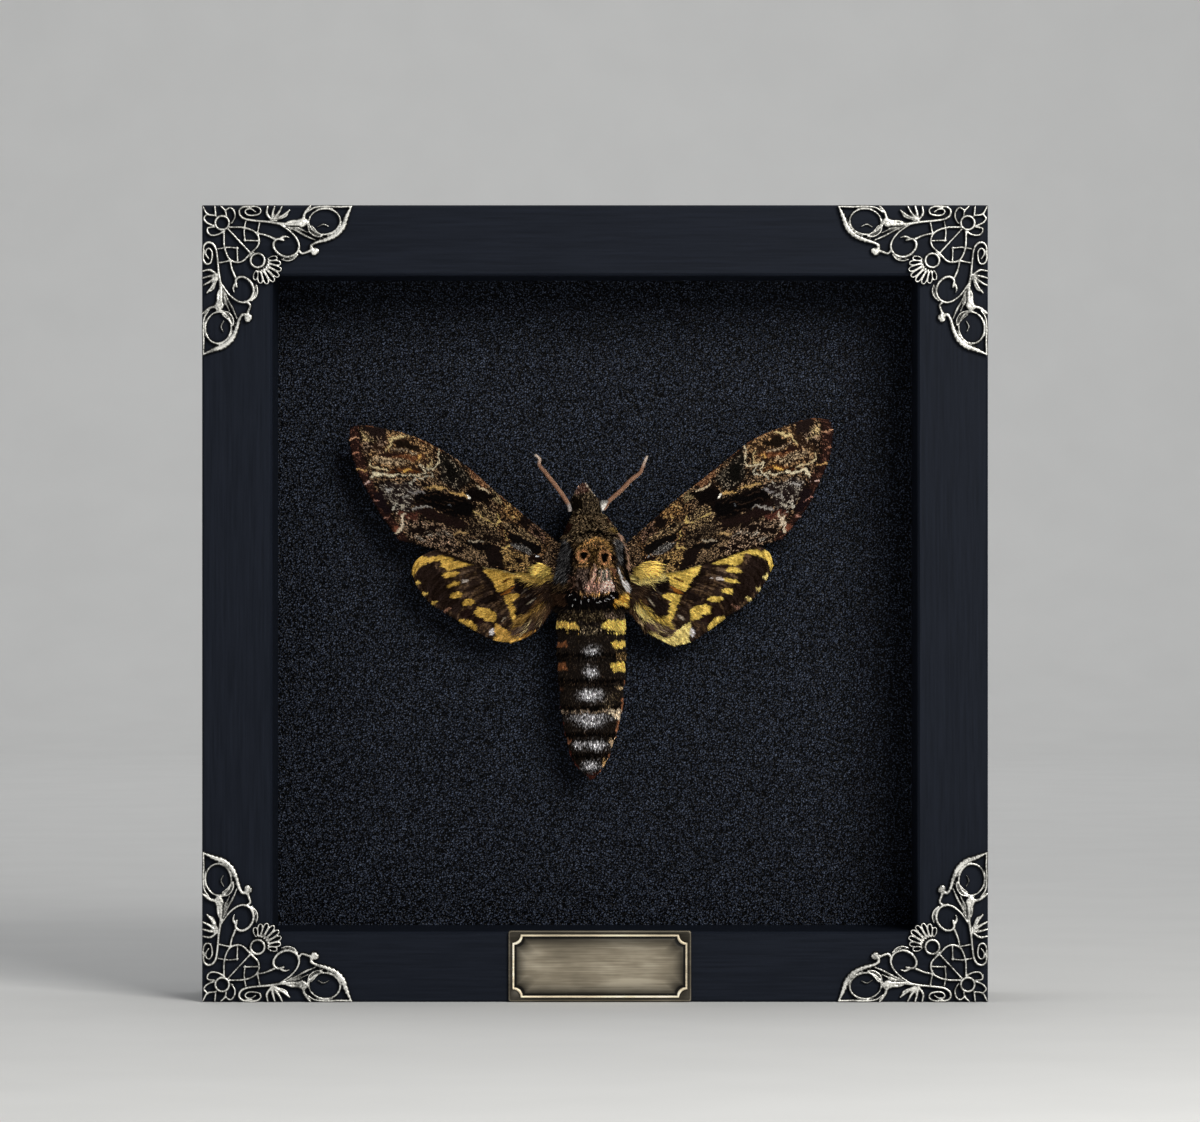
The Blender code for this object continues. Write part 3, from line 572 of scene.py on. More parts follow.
def antiqued_metal():
    """Old cast silver: black patina with painted shade in its recesses, painted shade on its flanks, a
    painted highlight where it faces forward.
    """
    made = Surface("antiqued_silver", Metallic=0.5, Specular_IOR_Level=0.3)
    # painted light: parts turned to the front are painted bright as a highlight, the flanks dark as shade
    spot = made.add("ShaderNodeTexCoord")
    facing = made.add("ShaderNodeSeparateXYZ")
    made.link(spot, "Normal", facing, "Vector")
    painted_facing_highlight = made.add("ShaderNodeMapRange", From_Min=-0.5, From_Max=-0.96)
    made.link(facing, "Y", painted_facing_highlight, "Value")
    place = made.add("ShaderNodeSeparateXYZ")
    made.link(spot, "Object", place, "Vector")
    # black patina with painted shade, darker towards the back of each band
    foot, crest = (METAL_BACK_Y - 0.35) * MM, (METAL_BACK_Y - 1.0) * MM
    high = made.add("ShaderNodeMapRange", From_Min=foot, From_Max=crest, To_Min=-0.35, To_Max=0.1)
    made.link(place, "Y", high, "Value")
    raised = made.summed(painted_facing_highlight, "Result", 1.0, high, "Result")
    dulled = made.summed(made.grain(2.6, 2.0), "Fac", 1.0, raised, "Value")
    worn = made.grain(0.4, 5.0)
    both = made.summed(worn, "Fac", 1.2, dulled, "Value")
    # a ramp's places run from 0 to 1, so the sum is scaled down to them
    shrink = 0.4
    scaled = made.add("ShaderNodeMath", operation="MULTIPLY")
    scaled.inputs[1].default_value = shrink
    made.link(both, "Value", scaled, 0)
    stops = (
        (1.15, (0.003, 0.003, 0.0035)),
        (1.6, (0.035, 0.035, 0.033)),
        (1.98, (0.3, 0.295, 0.27)),
        (2.3, (1.0, 0.98, 0.91)),
    )
    tone = made.ramp(scaled, "Value", [(level * shrink, shade) for level, shade in stops])
    made.colour(tone, "Color")
    made.roughened(scaled, "Value", 0.6, 0.28, From_Min=0.4, From_Max=0.92)
    made.bump(worn, "Fac", 0.09, 0.7)
    return made.material


def brushed_plate():
    """Brushed brass gone dull, darker or brighter as its painted tone says; the tone holds painted highlights
    and painted shade.
    """
    made = Surface("brushed_antique_brass", Metallic=0.5, Specular_IOR_Level=0.3)
    brush = made.grain(0.35, 5.0, (0.03, 1.0, 1.0))
    both = made.summed(brush, "Fac", 0.55, made.grain(7.0, 3.0, (0.5, 1.0, 1.4)), "Fac")
    stops = ((0.45, (0.13, 0.11, 0.078)), (0.75, (0.24, 0.205, 0.148)), (1.0, (0.42, 0.37, 0.28)))
    field = made.ramp(both, "Value", stops)
    made.colour_product(field, made.add("ShaderNodeAttribute", attribute_name="paint"))
    made.roughened(brush, "Fac", 0.4, 0.55)
    made.bump(brush, "Fac", 0.03, 0.5)
    return made.material


def cellular(name, size, stops, height, strength, **constants):
    """A surface of small cells, coloured and raised by the distance to each cell's middle."""
    made = Surface(name, **constants)
    cells = made.add("ShaderNodeTexVoronoi", Scale=1.0 / size)
    made.link(made.places(), "Vector", cells, "Vector")
    made.colour(made.ramp(cells, "Distance", stops), "Color")
    made.bump(cells, "Distance", height, strength)
    return made.material


def faceted_eye():
    stops = ((0.2, (0.035, 0.02, 0.012)), (0.7, (0.006, 0.004, 0.003)))
    return cellular("compound_eye", 0.09, stops, -0.02, 0.6, Roughness=0.18, Coat_Weight=0.4,
                    Coat_Roughness=0.1)


def porous_foam():
    stops = ((0.1, (0.004, 0.004, 0.005)), (0.6, (0.018, 0.018, 0.02)))
    return cellular("black_foam", 0.35, stops, 0.12, 1.0, Roughness=0.9)


def dark_leg_scales():
    made = Surface("leg_scales", Roughness=0.7, Sheen_Weight=0.3)
    grain = made.grain(0.25, 4.0, (1.0, 1.0, 0.5))
    tone = made.ramp(grain, "Fac", ((0.35, (0.018, 0.011, 0.007)), (0.65, (0.11, 0.075, 0.045))))
    made.colour(tone, "Color")
    made.bump(grain, "Fac", 0.12)
    return made.material


# Wings


def thorax_edge(z, y, side):
    """How far the thorax reaches sideways from the midline at this height and depth."""
    heights, shifts, halves, depths, _ = np.array(THORAX).T
    shift, half, depth = [np.interp(z, heights, values) for values in (shifts, halves, depths)]
    return half * math.sqrt(1.0 - min(0.9, (y / depth) ** 2)) + side * shift


def wing_curves(wing, side, y):
    """The four edges of a wing, x measured outwards from the midline, as in the solids."""
    turn = math.radians(wing["rise"])

    def placed(point):
        u, v = point
        x = wing["base"][0] + u * math.cos(turn) - v * math.sin(turn)
        z = wing["base"][1] + u * math.sin(turn) + v * math.cos(turn)
        return (x, z)

    high, low = wing["root"]
    steps = 5
    root = []
    for k in range(steps):
        z = high + (low - high) * k / (steps - 1)
        root.append((thorax_edge(z, y, side) + GAP + 0.05, z))
    costa = [root[0]] + [placed(p) for p in wing["costa"]]
    outer = [costa[-1]] + [placed(p) for p in wing["outer"]]
    inner = [root[-1]] + [placed(p) for p in wing["inner"]] + [outer[-1]]
    return {"root": root, "costa": costa, "outer": outer, "inner": inner}


class Wing:
    """One wing's surface: a runs from root to margin and b from front edge to rear edge."""

    ROOT_REACH = 55.0

    def __init__(self, name, shape, side, y, veins, size):
        self.name = name
        self.side = side
        self.y = y
        self.veins = np.array(veins)
        self.size = size
        self.curves = wing_curves(shape, side, y)

    def flat(self, a, b):
        """Place in the wing's own plane. Below zero, a carries on into the body."""
        inward = np.minimum(a, 0.0) * self.ROOT_REACH
        a = np.maximum(a, 0.0)
        share_a, share_b = a[:, None], b[:, None]
        edges = self.curves
        corners = (
            (1 - share_a) * (1 - share_b) * np.array(edges["root"][0])
            + (1 - share_a) * share_b * np.array(edges["root"][-1])
            + share_a * (1 - share_b) * np.array(edges["outer"][0])
            + share_a * share_b * np.array(edges["outer"][-1])
        )
        found = (
            (1 - share_b) * spline(edges["costa"], a)
            + share_b * spline(edges["inner"], a)
            + (1 - share_a) * spline(edges["root"], b)
            + share_a * spline(edges["outer"], b)
            - corners
        )
        found[:, 0] += inward
        return found

    def at(self, a, b, face):
        """Place on the front (face -1) or rear (face 1) of the membrane."""
        x, z = self.flat(a, b).T
        outward = np.maximum(0.0, x - 9.0)
        bow = 0.45 * np.sin(np.minimum(1.0, outward / 30.0) * math.pi)
        sag = 0.00055 * outward**2 - bow + 0.012 * np.abs(z - 12.0)
        between = np.interp(b, self.veins, np.arange(len(self.veins)))
        along = np.clip(a, 0.0, 1.0)
        fold = 0.1 * np.sin(between * math.pi) ** 2 * (0.4 + 0.6 * along)
        ridge = 0.09 * np.cos(between * math.pi) ** 16 * (1.0 - 0.6 * along)
        half = MEMBRANE_HALF + 0.25 * (1.0 - along) ** 3 + ridge
        relief = 0.05 * (noise(x / 1.1, z / 1.1, 91) - 0.5)
        middle = self.y + sag + fold
        return np.column_stack([MOTH_X + self.side * x, middle + face * (half + relief), MOTH_Z + z])

    def outwards(self, a, b, turn=0.0):
        """The way that scales and hair lie, turned towards the rear edge by an angle in radians."""
        step = 0.01
        here = self.flat(a, b)
        way = self.flat(a + step, b) - here
        way /= np.linalg.norm(way, axis=1, keepdims=True)
        cos, sin = np.cos(turn), np.sin(turn)
        x = way[:, 0] * cos + way[:, 1] * sin
        z = way[:, 1] * cos - way[:, 0] * sin
        return np.column_stack([self.side * x, np.zeros(len(a)), z])

    def scatter(self, spacing, a_range, b_range, seed):
        """Jittered places spread evenly over a stretch of the wing."""
        random = np.random.RandomState(seed)
        long = max(2, int(self.size[0] * (a_range[1] - a_range[0]) / spacing))
        wide = max(2, int(self.size[1] * (b_range[1] - b_range[0]) / spacing))
        a = (np.arange(long)[:, None] + random.rand(long, wide)) / long
        b = (np.arange(wide)[None, :] + random.rand(long, wide)) / wide
        a = a_range[0] + (a_range[1] - a_range[0]) * a.ravel()
        b = b_range[0] + (b_range[1] - b_range[0]) * b.ravel()
        return a, b, random


def pushed(a, b, size, seed, coarse, fine):
    """Wing places in millimetres, pushed about so that the marks get ragged edges.

    coarse and fine each hold a bump's length, its height and how far it pushes along the wing.
    """
    u, v = a * size[0], b * size[1]
    push = np.zeros(len(u))
    rise = np.zeros(len(u))
    for k, (long, high, reach) in enumerate((coarse, fine)):
        push += (noise(u / long + 17.0, v / high + 23.0, seed + k) - 0.5) * 2.0 * reach
        rise += (noise(u / long + 31.0, v / long + 11.0, seed + 2 + k) - 0.5) * high
    return u + push, v + rise


def paint_forewing(a, b, seed, fleck):
    """Forewing colours. Marks are in hundredths of the wing's length and width."""
    u, v = pushed(a, b, FOREWING_SIZE, seed, (1.6, 0.8, 0.45), (0.5, 0.3, 0.3))
    flat_u, flat_v = a * FOREWING_SIZE[0], b * FOREWING_SIZE[1]
    drawn = smooth((a - 0.35) / 0.3)
    grit = grains(flat_u, flat_v, 0.4, 0.26, seed + 31, fleck, 1.0)
    lengths = ((0.34, 0.28), (0.8, 0.26))
    fine, streaked = (grains(flat_u, flat_v, long, high, seed + 33, fleck, 1.5) for long, high in lengths)
    fleck = fine * (1.0 - drawn) + streaked * drawn
    c = Canvas(u, v, (25, 18, 15), (FOREWING_SIZE[0] / 100.0, FOREWING_SIZE[1] / 100.0), grit)
    c.sprinkle(np.ones(len(u)), (184, 150, 114), 0.26)
    # root and basal third
    c.sprinkle(c.area([(4, -5), (33, -5), (31, 30), (30, 60), (24, 70), (4, 60)], 2.0), (180, 138, 96), 0.26)
    c.sprinkle(c.stroke([(3.5, 30, 0.2), (4.4, 46, 0.4), (4.4, 64, 0.5)], 0.4), (160, 132, 104), 0.5)
    c.sprinkle(c.area([(6, 3), (14, 3), (14, 24), (7, 26)]), (170, 132, 108), 0.32)
    c.lay(c.area([(14.5, -5), (19, -5), (19, 20), (16, 24), (15, 10)], 1.4), (22, 16, 14), 0.88)
    c.sprinkle(c.area([(9, 23), (20, 24), (29, 33), (26, 41), (15, 39), (8, 32)]), (204, 172, 128), 0.38)
    c.mottle(c.area([(18, -5), (27, -5), (28, 19), (23, 21), (19, 12)], 1.0), (42, 29, 20), 0.7,
             (206, 158, 100), 0.36)
    c.lay(c.stroke([(20, 9, 0.12), (23.5, 19, 0.2)]), (196, 164, 104), 0.8)
    c.lay(c.stroke([(24.5, 1, 0.1), (27.5, 12, 0.2)]), (204, 170, 112), 0.8)
    c.lay(c.area([(8, 35), (16, 39), (24.5, 42), (25, 52), (18, 54), (9, 58), (7.5, 48)], 1.3), (17, 14, 13),
          0.88)
    c.mottle(c.area([(11, 60), (14, 52), (19, 50), (25, 56), (24, 63), (15, 66)]), (27, 25, 25), 0.8,
             (176, 170, 164), 0.42)
    c.lay(c.spot(9.5, 62, 0.55, 2.0), (236, 236, 240), 0.95)
    c.lay(c.area([(6.5, 62), (13, 64), (14, 72), (7, 74)]), (30, 20, 16), 0.85)
    c.mottle(c.area([(14.5, 69), (31, 66), (31, 97), (14, 99)], 1.0), (44, 32, 22), 0.75, (226, 184, 118),
             0.42)
    # ochre zigzag across the middle of the base
    for path in (
        [(30.5, 26, 0.15), (29.4, 33, 0.32), (32, 41, 0.15)],
        [(32, 41, 0.15), (38, 40, 0.1), (44, 39.5, 0.15)],
        [(26.5, 41, 0.12), (27, 54, 0.22)],
        [(25.5, 59, 0.15), (27, 66, 0.26), (31, 70, 0.12)],
    ):
        c.lay(c.stroke(path, 0.3), (214, 186, 116), 0.85)
    c.sprinkle(c.area([(29, 3), (34, 3), (34.5, 13), (30, 11)]), (176, 154, 112), 0.62)
    c.sprinkle(c.area([(31, 27), (38, 26), (46, 36), (45, 52), (31, 50)]), (204, 172, 126), 0.32)
    c.sprinkle(c.area([(30, 52), (46, 52), (52, 68), (32, 68)]), (148, 124, 96), 0.28)
    c.mottle(c.area([(36, -5), (47, -5), (46, 7), (38, 8)]), (62, 34, 22), 0.75, (176, 132, 96), 0.5)
    c.lay(c.stroke([(36.5, 7.5, 0.2), (42, 10.5, 0.28)]), (206, 186, 154), 0.8)
    for x, y, wide, high in ((11, 14, 1.6, 5), (22, 30, 1.6, 3), (37, 20, 1.8, 4), (38, 62, 2.2, 3),
                             (21, 82, 2.0, 5), (28, 90, 1.8, 3)):
        c.lay(c.spot(x, y, wide, high, 1.2), (22, 16, 13), 0.8)
    # dark wedge down to the discal dot
    c.lay(c.area([(33, 5), (36, 9), (41, 11), (46, 19), (48, 30), (44.5, 30), (38, 23), (35, 15)], 1.6),
          (15, 11, 10), 0.92)
    c.mottle(c.area([(45, 8), (60.5, 2), (61, 27), (52, 28), (48, 20)]), (22, 19, 17), 0.85, (170, 154, 132),
             0.2)
    c.lay(c.area([(52, 8), (58, 10), (57, 24), (53, 22)]), (15, 14, 12), 0.7)
    # hind block
    c.lay(c.area([(31, 71), (36, 71), (41, 78), (41, 97), (31, 97)], 2.0), (26, 19, 17), 0.8)
    c.lay(c.stroke([(36, 71, 0.5), (43, 77, 0.75), (50, 81, 0.7), (57, 82, 0.2)]), (18, 14, 13), 0.9)
    c.lay(c.stroke([(41, 68, 0.1), (45, 73, 0.26), (50, 77, 0.15)]), (176, 162, 140), 0.85)
    c.sprinkle(c.area([(41, 82), (60, 80), (62, 97), (41, 97)]), (184, 152, 116), 0.42)
    c.lay(c.stroke([(49, 68, 0.08), (54.5, 71.5, 0.3), (60, 77, 0.12)]), (180, 148, 102), 0.9)
    # black wedge behind the dot
    wedge = [(43, 32), (50, 33.5), (58, 38), (68, 42), (75, 48), (78, 55), (70, 57), (57, 59), (47, 50)]
    c.lay(c.area(wedge, 2.6), (11, 9, 9), 0.98)
    for x, y in ((52, 38), (57, 44), (62, 49), (66, 44), (70, 52), (51, 52), (60, 54)):
        c.lay(c.stroke([(x - 4, y - 2, 0.03), (x, y, 0.12), (x + 5, y + 2.5, 0.03)], 0.3), (50, 37, 29), 0.9)
    c.lay(c.area([(50, 56), (62, 60), (78, 57), (80, 68), (66, 71), (52, 66)], 2.4), (33, 22, 20), 0.75)
    c.lay(c.stroke([(46.5, 27, 0.08), (50, 29, 0.34), (56, 34, 0.1)]), (196, 158, 98), 0.95)
    c.lay(c.stroke([(57, 31, 0.08), (63.5, 35.5, 0.32), (70, 39.5, 0.08)]), (186, 152, 98), 0.95)
    c.lay(c.spot(46.6, 27.8, 0.95, 1.7, 0.15), (252, 246, 232), 1.0)
    c.lay(c.spot(57, 47, 0.6, 1.4), (92, 94, 98), 0.8)
    # apical field
    field = [(62, -5), (74, -5), (84, 4), (92, 20), (94, 30), (84, 33), (78, 34), (69, 30), (71, 23),
             (64, 17)]
    c.mottle(c.area(field, 1.6), (44, 30, 22), 0.8, (210, 166, 116), 0.3)
    c.mottle(c.stroke([(67, 12, 0.2), (71, 17, 0.55), (78, 20.5, 0.5), (83, 22, 0.2)], 0.6), (84, 50, 32),
             0.85, (150, 100, 66), 0.4)
    c.lay(c.stroke([(68.5, 13, 0.1), (69.8, 16, 0.28), (71, 19, 0.1)], 0.3), (206, 160, 92), 0.9)
    c.lay(c.stroke([(70, 8, 0.3), (75, 8.5, 0.75), (79.5, 10.5, 0.3)], 0.5), (26, 19, 14), 0.92)
    c.sprinkle(c.stroke([(71, 13, 0.2), (76, 14, 0.3), (81, 14.5, 0.2)], 0.4), (190, 168, 140), 0.7)
    c.lay(c.stroke([(77, 17, 0.15), (82, 20, 0.35), (88, 22.5, 0.2)], 0.4), (40, 24, 20), 0.9)
    c.sprinkle(c.area([(74, 21.5), (80, 22), (88, 22), (92, 28), (84, 29), (78, 27)], 0.8), (214, 186, 148),
               0.5)
    c.lay(c.stroke([(70, 27, 0.15), (76, 29.5, 0.5), (81, 31.5, 0.2)], 0.5), (96, 58, 32), 0.85)
    c.lay(c.stroke([(74, 28, 0.08), (77, 30.8, 0.34), (79, 32.5, 0.08)], 0.4), (226, 178, 92), 0.95)
    c.lay(c.stroke([(75, 2, 0.1), (79, 5.5, 0.24), (82.3, 9, 0.32), (82.3, 12.5, 0.26), (84, 17, 0.12)], 0.4),
          (214, 190, 138), 0.85)
    c.lay(c.area([(84, -5), (95, -5), (90, 9), (84, 10)], 1.0), (34, 25, 23), 0.8)
    c.sprinkle(c.area([(84, 9), (92, 8), (94, 20), (86, 20)], 1.0), (190, 158, 132), 0.26)
    c.sprinkle(c.stroke([(89, 13, 0.3), (93, 9.5, 0.7), (96.5, 4, 0.6), (100, 0, 0.4)], 0.8), (232, 202, 146),
               0.6)
    # zigzag lines
    for path, shade in (
        ([(62.5, -3, 0.28), (61.6, 4, 0.25), (61, 10, 0.2), (61.3, 14.5, 0.17), (63.5, 18.3, 0.14),
          (66.5, 20.4, 0.17), (69.3, 21.2, 0.17)], (226, 210, 176)),
        ([(69.3, 21.2, 0.17), (70, 23, 0.17), (68, 25.5, 0.2), (68.6, 28, 0.18), (71, 31, 0.14),
          (76, 34.4, 0.14), (80, 35.8, 0.17)], (226, 210, 176)),
        ([(80, 35.8, 0.17), (83.5, 37.6, 0.28), (87, 38.4, 0.3), (90, 37.6, 0.26), (93, 40, 0.32),
          (94.4, 43, 0.18)], (238, 224, 190)),
        ([(66, 9.5, 0.08), (64, 12.5, 0.17), (64.6, 16.5, 0.17), (67, 19.8, 0.1)], (206, 182, 134)),
        ([(66.5, 21.5, 0.08), (64, 23.5, 0.15), (64.2, 26, 0.17), (66.6, 29.4, 0.13), (70.4, 31.8, 0.12),
          (73, 35, 0.14)], (206, 196, 172)),
        ([(73, 35, 0.14), (73.6, 38.4, 0.14), (76, 41, 0.12), (77.6, 45, 0.15), (80.5, 48.4, 0.17)],
         (196, 188, 170)),
        ([(82, 36, 0.08), (86, 33.6, 0.14), (90.6, 33.2, 0.2), (93.2, 30.6, 0.2), (92.4, 26, 0.1)],
         (222, 200, 156)),
        ([(77.5, 38, 0.08), (82.5, 42, 0.13), (86.8, 49.5, 0.13)], (162, 130, 98)),
    ):
        thin = [(x, y, 0.78 * half) for x, y, half in path]
        c.lay(c.stroke(thin, 0.22), tuple(0.94 * s for s in shade), 0.93)
    c.lay(c.spot(83.6, 35, 1.7, 1.6), (66, 38, 22), 0.85)
    # dark and pale flecks between zigzag and margin
    lower = [(71, 41), (84, 42), (92, 46), (93, 56), (90, 70), (82, 68), (78, 56)]
    c.mottle(c.area(lower, 1.0), (34, 26, 25), 0.85, (192, 180, 164), 0.22)
    for path, shade in (
        ([(70, 43.5, 0.08), (73, 46.5, 0.2), (78, 49, 0.12)], (140, 134, 132)),
        ([(68, 57, 0.1), (74, 60, 0.17), (80, 65, 0.17)], (150, 144, 138)),
        ([(84, 61, 0.15), (86.5, 66, 0.26)], (186, 176, 158)),
        ([(87.5, 61.5, 0.14), (92, 68.5, 0.24)], (196, 190, 174)),
        ([(86.5, 70.5, 0.15), (90, 72, 0.18)], (196, 188, 172)),
        ([(79, 52, 0.15), (83, 56, 0.2)], (150, 144, 136)),
        ([(86, 48, 0.15), (90, 51.5, 0.28)], (176, 170, 164)),
    ):
        c.lay(c.stroke(path), shade, 0.85)
    c.lay(c.area([(76, 67), (88, 68), (92, 77), (80, 76)], 1.0), (92, 54, 44), 0.65)
    c.sprinkle(c.area([(60, 72), (90, 74), (92, 97), (60, 97)], 1.5), (206, 172, 142), 0.27)
    for x, y, wide, high in ((76, 85, 2.2, 2.6), (84, 92, 2.6, 2.0), (64, 79, 2.4, 1.6), (70, 82, 1.8, 1.4)):
        c.sprinkle(c.spot(x, y, wide, high, 0.8), (214, 202, 184), 0.55)
    for x, y in ((66, 92), (72, 78), (80, 82), (86, 86), (58, 90)):
        c.lay(c.stroke([(x - 4, y - 4, 0.1), (x, y, 0.5), (x + 5, y + 4, 0.1)], 0.4), (24, 17, 15), 0.8)
    # margin
    c.lay(c.area([(95, -5), (105, -5), (105, 105), (93, 105), (95.5, 60)], 1.0), (40, 25, 22), 0.8)
    c.sprinkle(c.area([(94, -5), (105, -5), (105, 105), (92, 105), (94.5, 60)], 1.0), (128, 86, 70), 0.16)
    c.lay(c.area([(92.5, 52), (98, 54), (98, 73), (93, 72)], 0.8), (26, 18, 20), 0.85)
    for path, shade in (
        ([(95, 10.5, 0.06), (99.5, 9, 0.15)], (206, 158, 122)),
        ([(96, 22.5, 0.06), (99.5, 21, 0.14)], (190, 132, 104)),
        ([(94.5, 34, 0.08), (99.5, 34, 0.18)], (222, 176, 116)),
        ([(95.5, 46.5, 0.08), (99.5, 47, 0.15)], (222, 190, 178)),
        ([(96, 62.5, 0.06), (99.5, 61.5, 0.14)], (190, 138, 124)),
        ([(95.5, 75.5, 0.06), (99.5, 77.5, 0.13)], (184, 136, 118)),
    ):
        c.lay(c.stroke(path), shade, 0.9)
    c.lay(c.area([(91, 83), (97, 84), (101, 92), (97, 93)], 0.8), (120, 72, 54), 0.8)
    c.lay(c.stroke([(84, 70.5, 0.12), (88.5, 76, 0.28), (90.5, 81, 0.3), (93.5, 86, 0.28), (97, 92, 0.24),
                    (101, 98, 0.2)]), (222, 204, 178), 0.93)
    # thin coloured edges
    c.lay(c.stroke([(20, 99, 0.15), (50, 99.5, 0.18), (84, 99.5, 0.15)]), (138, 92, 48), 0.8)
    c.lay(c.stroke([(12, 0.0, 0.1), (60, 0.0, 0.12), (96, 0.0, 0.12)], 0.2), (120, 78, 52), 0.6)
    return c.flecked(fleck)


def paint_hindwing(a, b, seed, bright, fleck):
    """Hindwing colours. bright is true on the right wing, where the yellow is clearer."""
    u, v = pushed(a, b, HINDWING_SIZE, seed, (3.2, 0.5, 0.35), (1.8, 0.2, 0.25))
    flat_u = a * HINDWING_SIZE[0]
    flat_v = b * HINDWING_SIZE[1] - 0.17 * flat_u
    grit = grains(flat_u, flat_v, 2.0, 0.22, seed + 31, fleck)
    streak = grains(flat_u, flat_v, 2.6, 0.24, seed + 35, fleck)
    fleck = grains(flat_u, flat_v, 2.0, 0.2, seed + 33, fleck)
    c = Canvas(u, v, (46, 34, 28), (HINDWING_SIZE[0] / 100.0, HINDWING_SIZE[1] / 100.0), grit, 0.5)
    yellow = (236, 204, 104) if bright else (212, 172, 84)
    pale = (250, 228, 146) if bright else (226, 190, 104)
    c.sprinkle(np.ones(len(u)), (100, 78, 58), 0.4)
    marks = (
        ([(80, 5), (96, 8), (95, 50), (84, 50), (80, 30)], (36, 26, 22), 0.9),
        ([(82, 54), (94, 52), (92, 68), (84, 70)], (38, 25, 22), 0.9),
        ([(50, 18), (56, 18), (56, 60), (62, 74), (58, 66), (54, 52), (51, 34)], (34, 25, 21), 0.9),
        ([(56, 47), (74, 50), (70, 56), (58, 55)], (30, 22, 19), 0.8),
        ([(-8, -5), (19, -5), (23, 28), (18, 44), (4, 47), (-8, 47)], pale, 0.95),
        ([(22, 29), (36, 23), (48, 17.5), (51, 20), (50, 34), (53, 47), (44, 45), (36, 42), (33, 36),
          (30, 31)], yellow, 1.0),
        ([(15, 45), (22, 37), (28, 32), (33, 33), (34, 41), (38, 46), (39, 51), (34, 57), (18, 62), (12, 54)],
         (27, 20, 18), 0.95),
        ([(36, 57), (40, 53), (46, 51), (52, 52), (54, 56), (56, 61), (48, 61), (41, 59)], yellow, 1.0),
        ([(49, 60), (56, 61), (61, 70), (66, 79), (60, 78), (56, 72), (52, 67)], yellow, 0.95),
        ([(12, 62), (40, 61), (47, 66), (54, 71), (57, 76), (36, 77), (14, 70)], (34, 26, 24), 0.9),
        ([(10, 68), (24, 69), (32, 76), (12, 78)], (112, 80, 52), 0.75),
        ([(10, 78), (40, 79), (55, 76), (63, 76), (69, 83), (58, 83), (40, 82), (12, 84)],
         yellow if bright else (168, 132, 70), 1.0),
        ([(12, 84), (42, 83), (50, 87), (30, 91), (12, 90)], pale if bright else (128, 100, 66), 0.85),
        ([(42, 85), (66, 84), (78, 82), (79, 94), (44, 93)], (104, 82, 72), 0.8),
        ([(8, 92), (42, 93), (44, 104), (8, 104)], (98, 72, 54), 0.85),
        ([(57, 14.5), (63, 11.5), (70, 9.5), (75, 9.5), (77.5, 13), (75, 16.5), (66, 16.5)], yellow, 1.0),
        ([(64, 10), (75, 6), (85, 2), (92, -3), (104, -4), (99, 5), (93, 5), (80, 7.5), (72, 9)], yellow,
         1.0),
        ([(70, 64), (73, 58), (78, 54.5), (83, 57), (86.5, 61), (82, 65), (85, 68), (80, 72), (76, 69)],
         yellow, 1.0),
        ([(92, 62), (96, 55), (103, 51), (103, 72), (95, 69)], yellow, 0.9),
        ([(79, 73), (86, 77), (92, 82), (104, 87), (104, 99), (79, 99), (78, 88)],
         pale if bright else (224, 178, 92), 0.95),
        ([(58, 94), (80, 94), (80, 104), (56, 104)], pale if bright else (188, 140, 74), 0.9),
    )
    for corners, shade, strength in marks:
        c.lay(c.area(corners, 0.6), shade, strength)
    for x, y, wide, high in ((74, 20.5, 5.2, 2.4), (77, 29, 4.6, 1.7), (81.5, 38.5, 4.0, 2.6),
                             (80.5, 48.5, 5.0, 3.0)):
        c.lay(c.spot(x, y, wide, high, 0.45), yellow, 1.0)
    lines = (
        ([(35, 31, 0.1), (40, 34, 0.3), (46, 37, 0.1)], (112, 72, 36)),
        ([(37, 44, 0.1), (45, 48, 0.45), (53, 50, 0.15)], (142, 88, 34)),
        ([(24, 28, 0.12), (36, 22.5, 0.16), (49, 17, 0.12)], (250, 222, 150)),
        ([(63, 29, 0.05), (69, 29, 0.34), (73, 30, 0.05)], (240, 228, 224)),
        ([(58, 19, 0.1), (66, 21, 0.25), (72, 24, 0.1)], (106, 86, 68)),
        ([(58, 25, 0.1), (64, 27, 0.25), (70, 33, 0.1)], (98, 78, 62)),
        ([(20, 50, 0.1), (28, 52, 0.3), (36, 57, 0.1)], (86, 76, 66)),
        ([(18, 57, 0.1), (26, 59, 0.25), (34, 62, 0.1)], (92, 82, 74)),
        ([(20, 66, 0.1), (30, 69, 0.25), (38, 71.5, 0.15)], (168, 156, 136)),
        ([(94, 14, 0.05), (98, 10.5, 0.42), (102, 7, 0.4)], pale),
        ([(94, 23.5, 0.05), (98, 20.5, 0.38), (102, 17, 0.35)], pale),
        ([(94, 33.5, 0.05), (98, 31, 0.38), (102, 28, 0.35)], pale),
        ([(93, 45, 0.05), (97, 42, 0.3), (101, 39, 0.2)], (150, 110, 92)),
        ([(86, 76, 0.1), (90, 78, 0.42), (95, 80, 0.2)], (240, 234, 236)),
        ([(66, 71, 0.05), (70, 72, 0.2), (75, 75, 0.05)], (186, 172, 156)),
        ([(46, 86, 0.1), (56, 88, 0.3), (68, 93, 0.1)], (226, 204, 150)),
        ([(54, 85, 0.05), (64, 87, 0.2), (76, 91, 0.05)], (196, 172, 146)),
        ([(30, 93.5, 0.1), (38, 94, 0.25), (46, 96, 0.1)], (214, 186, 140)),
    )
    for path, shade in lines:
        c.lay(c.stroke(path, 0.3), shade, 0.9 if bright else 0.75)
    return c.flecked(fleck) * (0.5 + 0.8 * streak)[:, None] ** np.array((1.0, 1.08, 1.3))


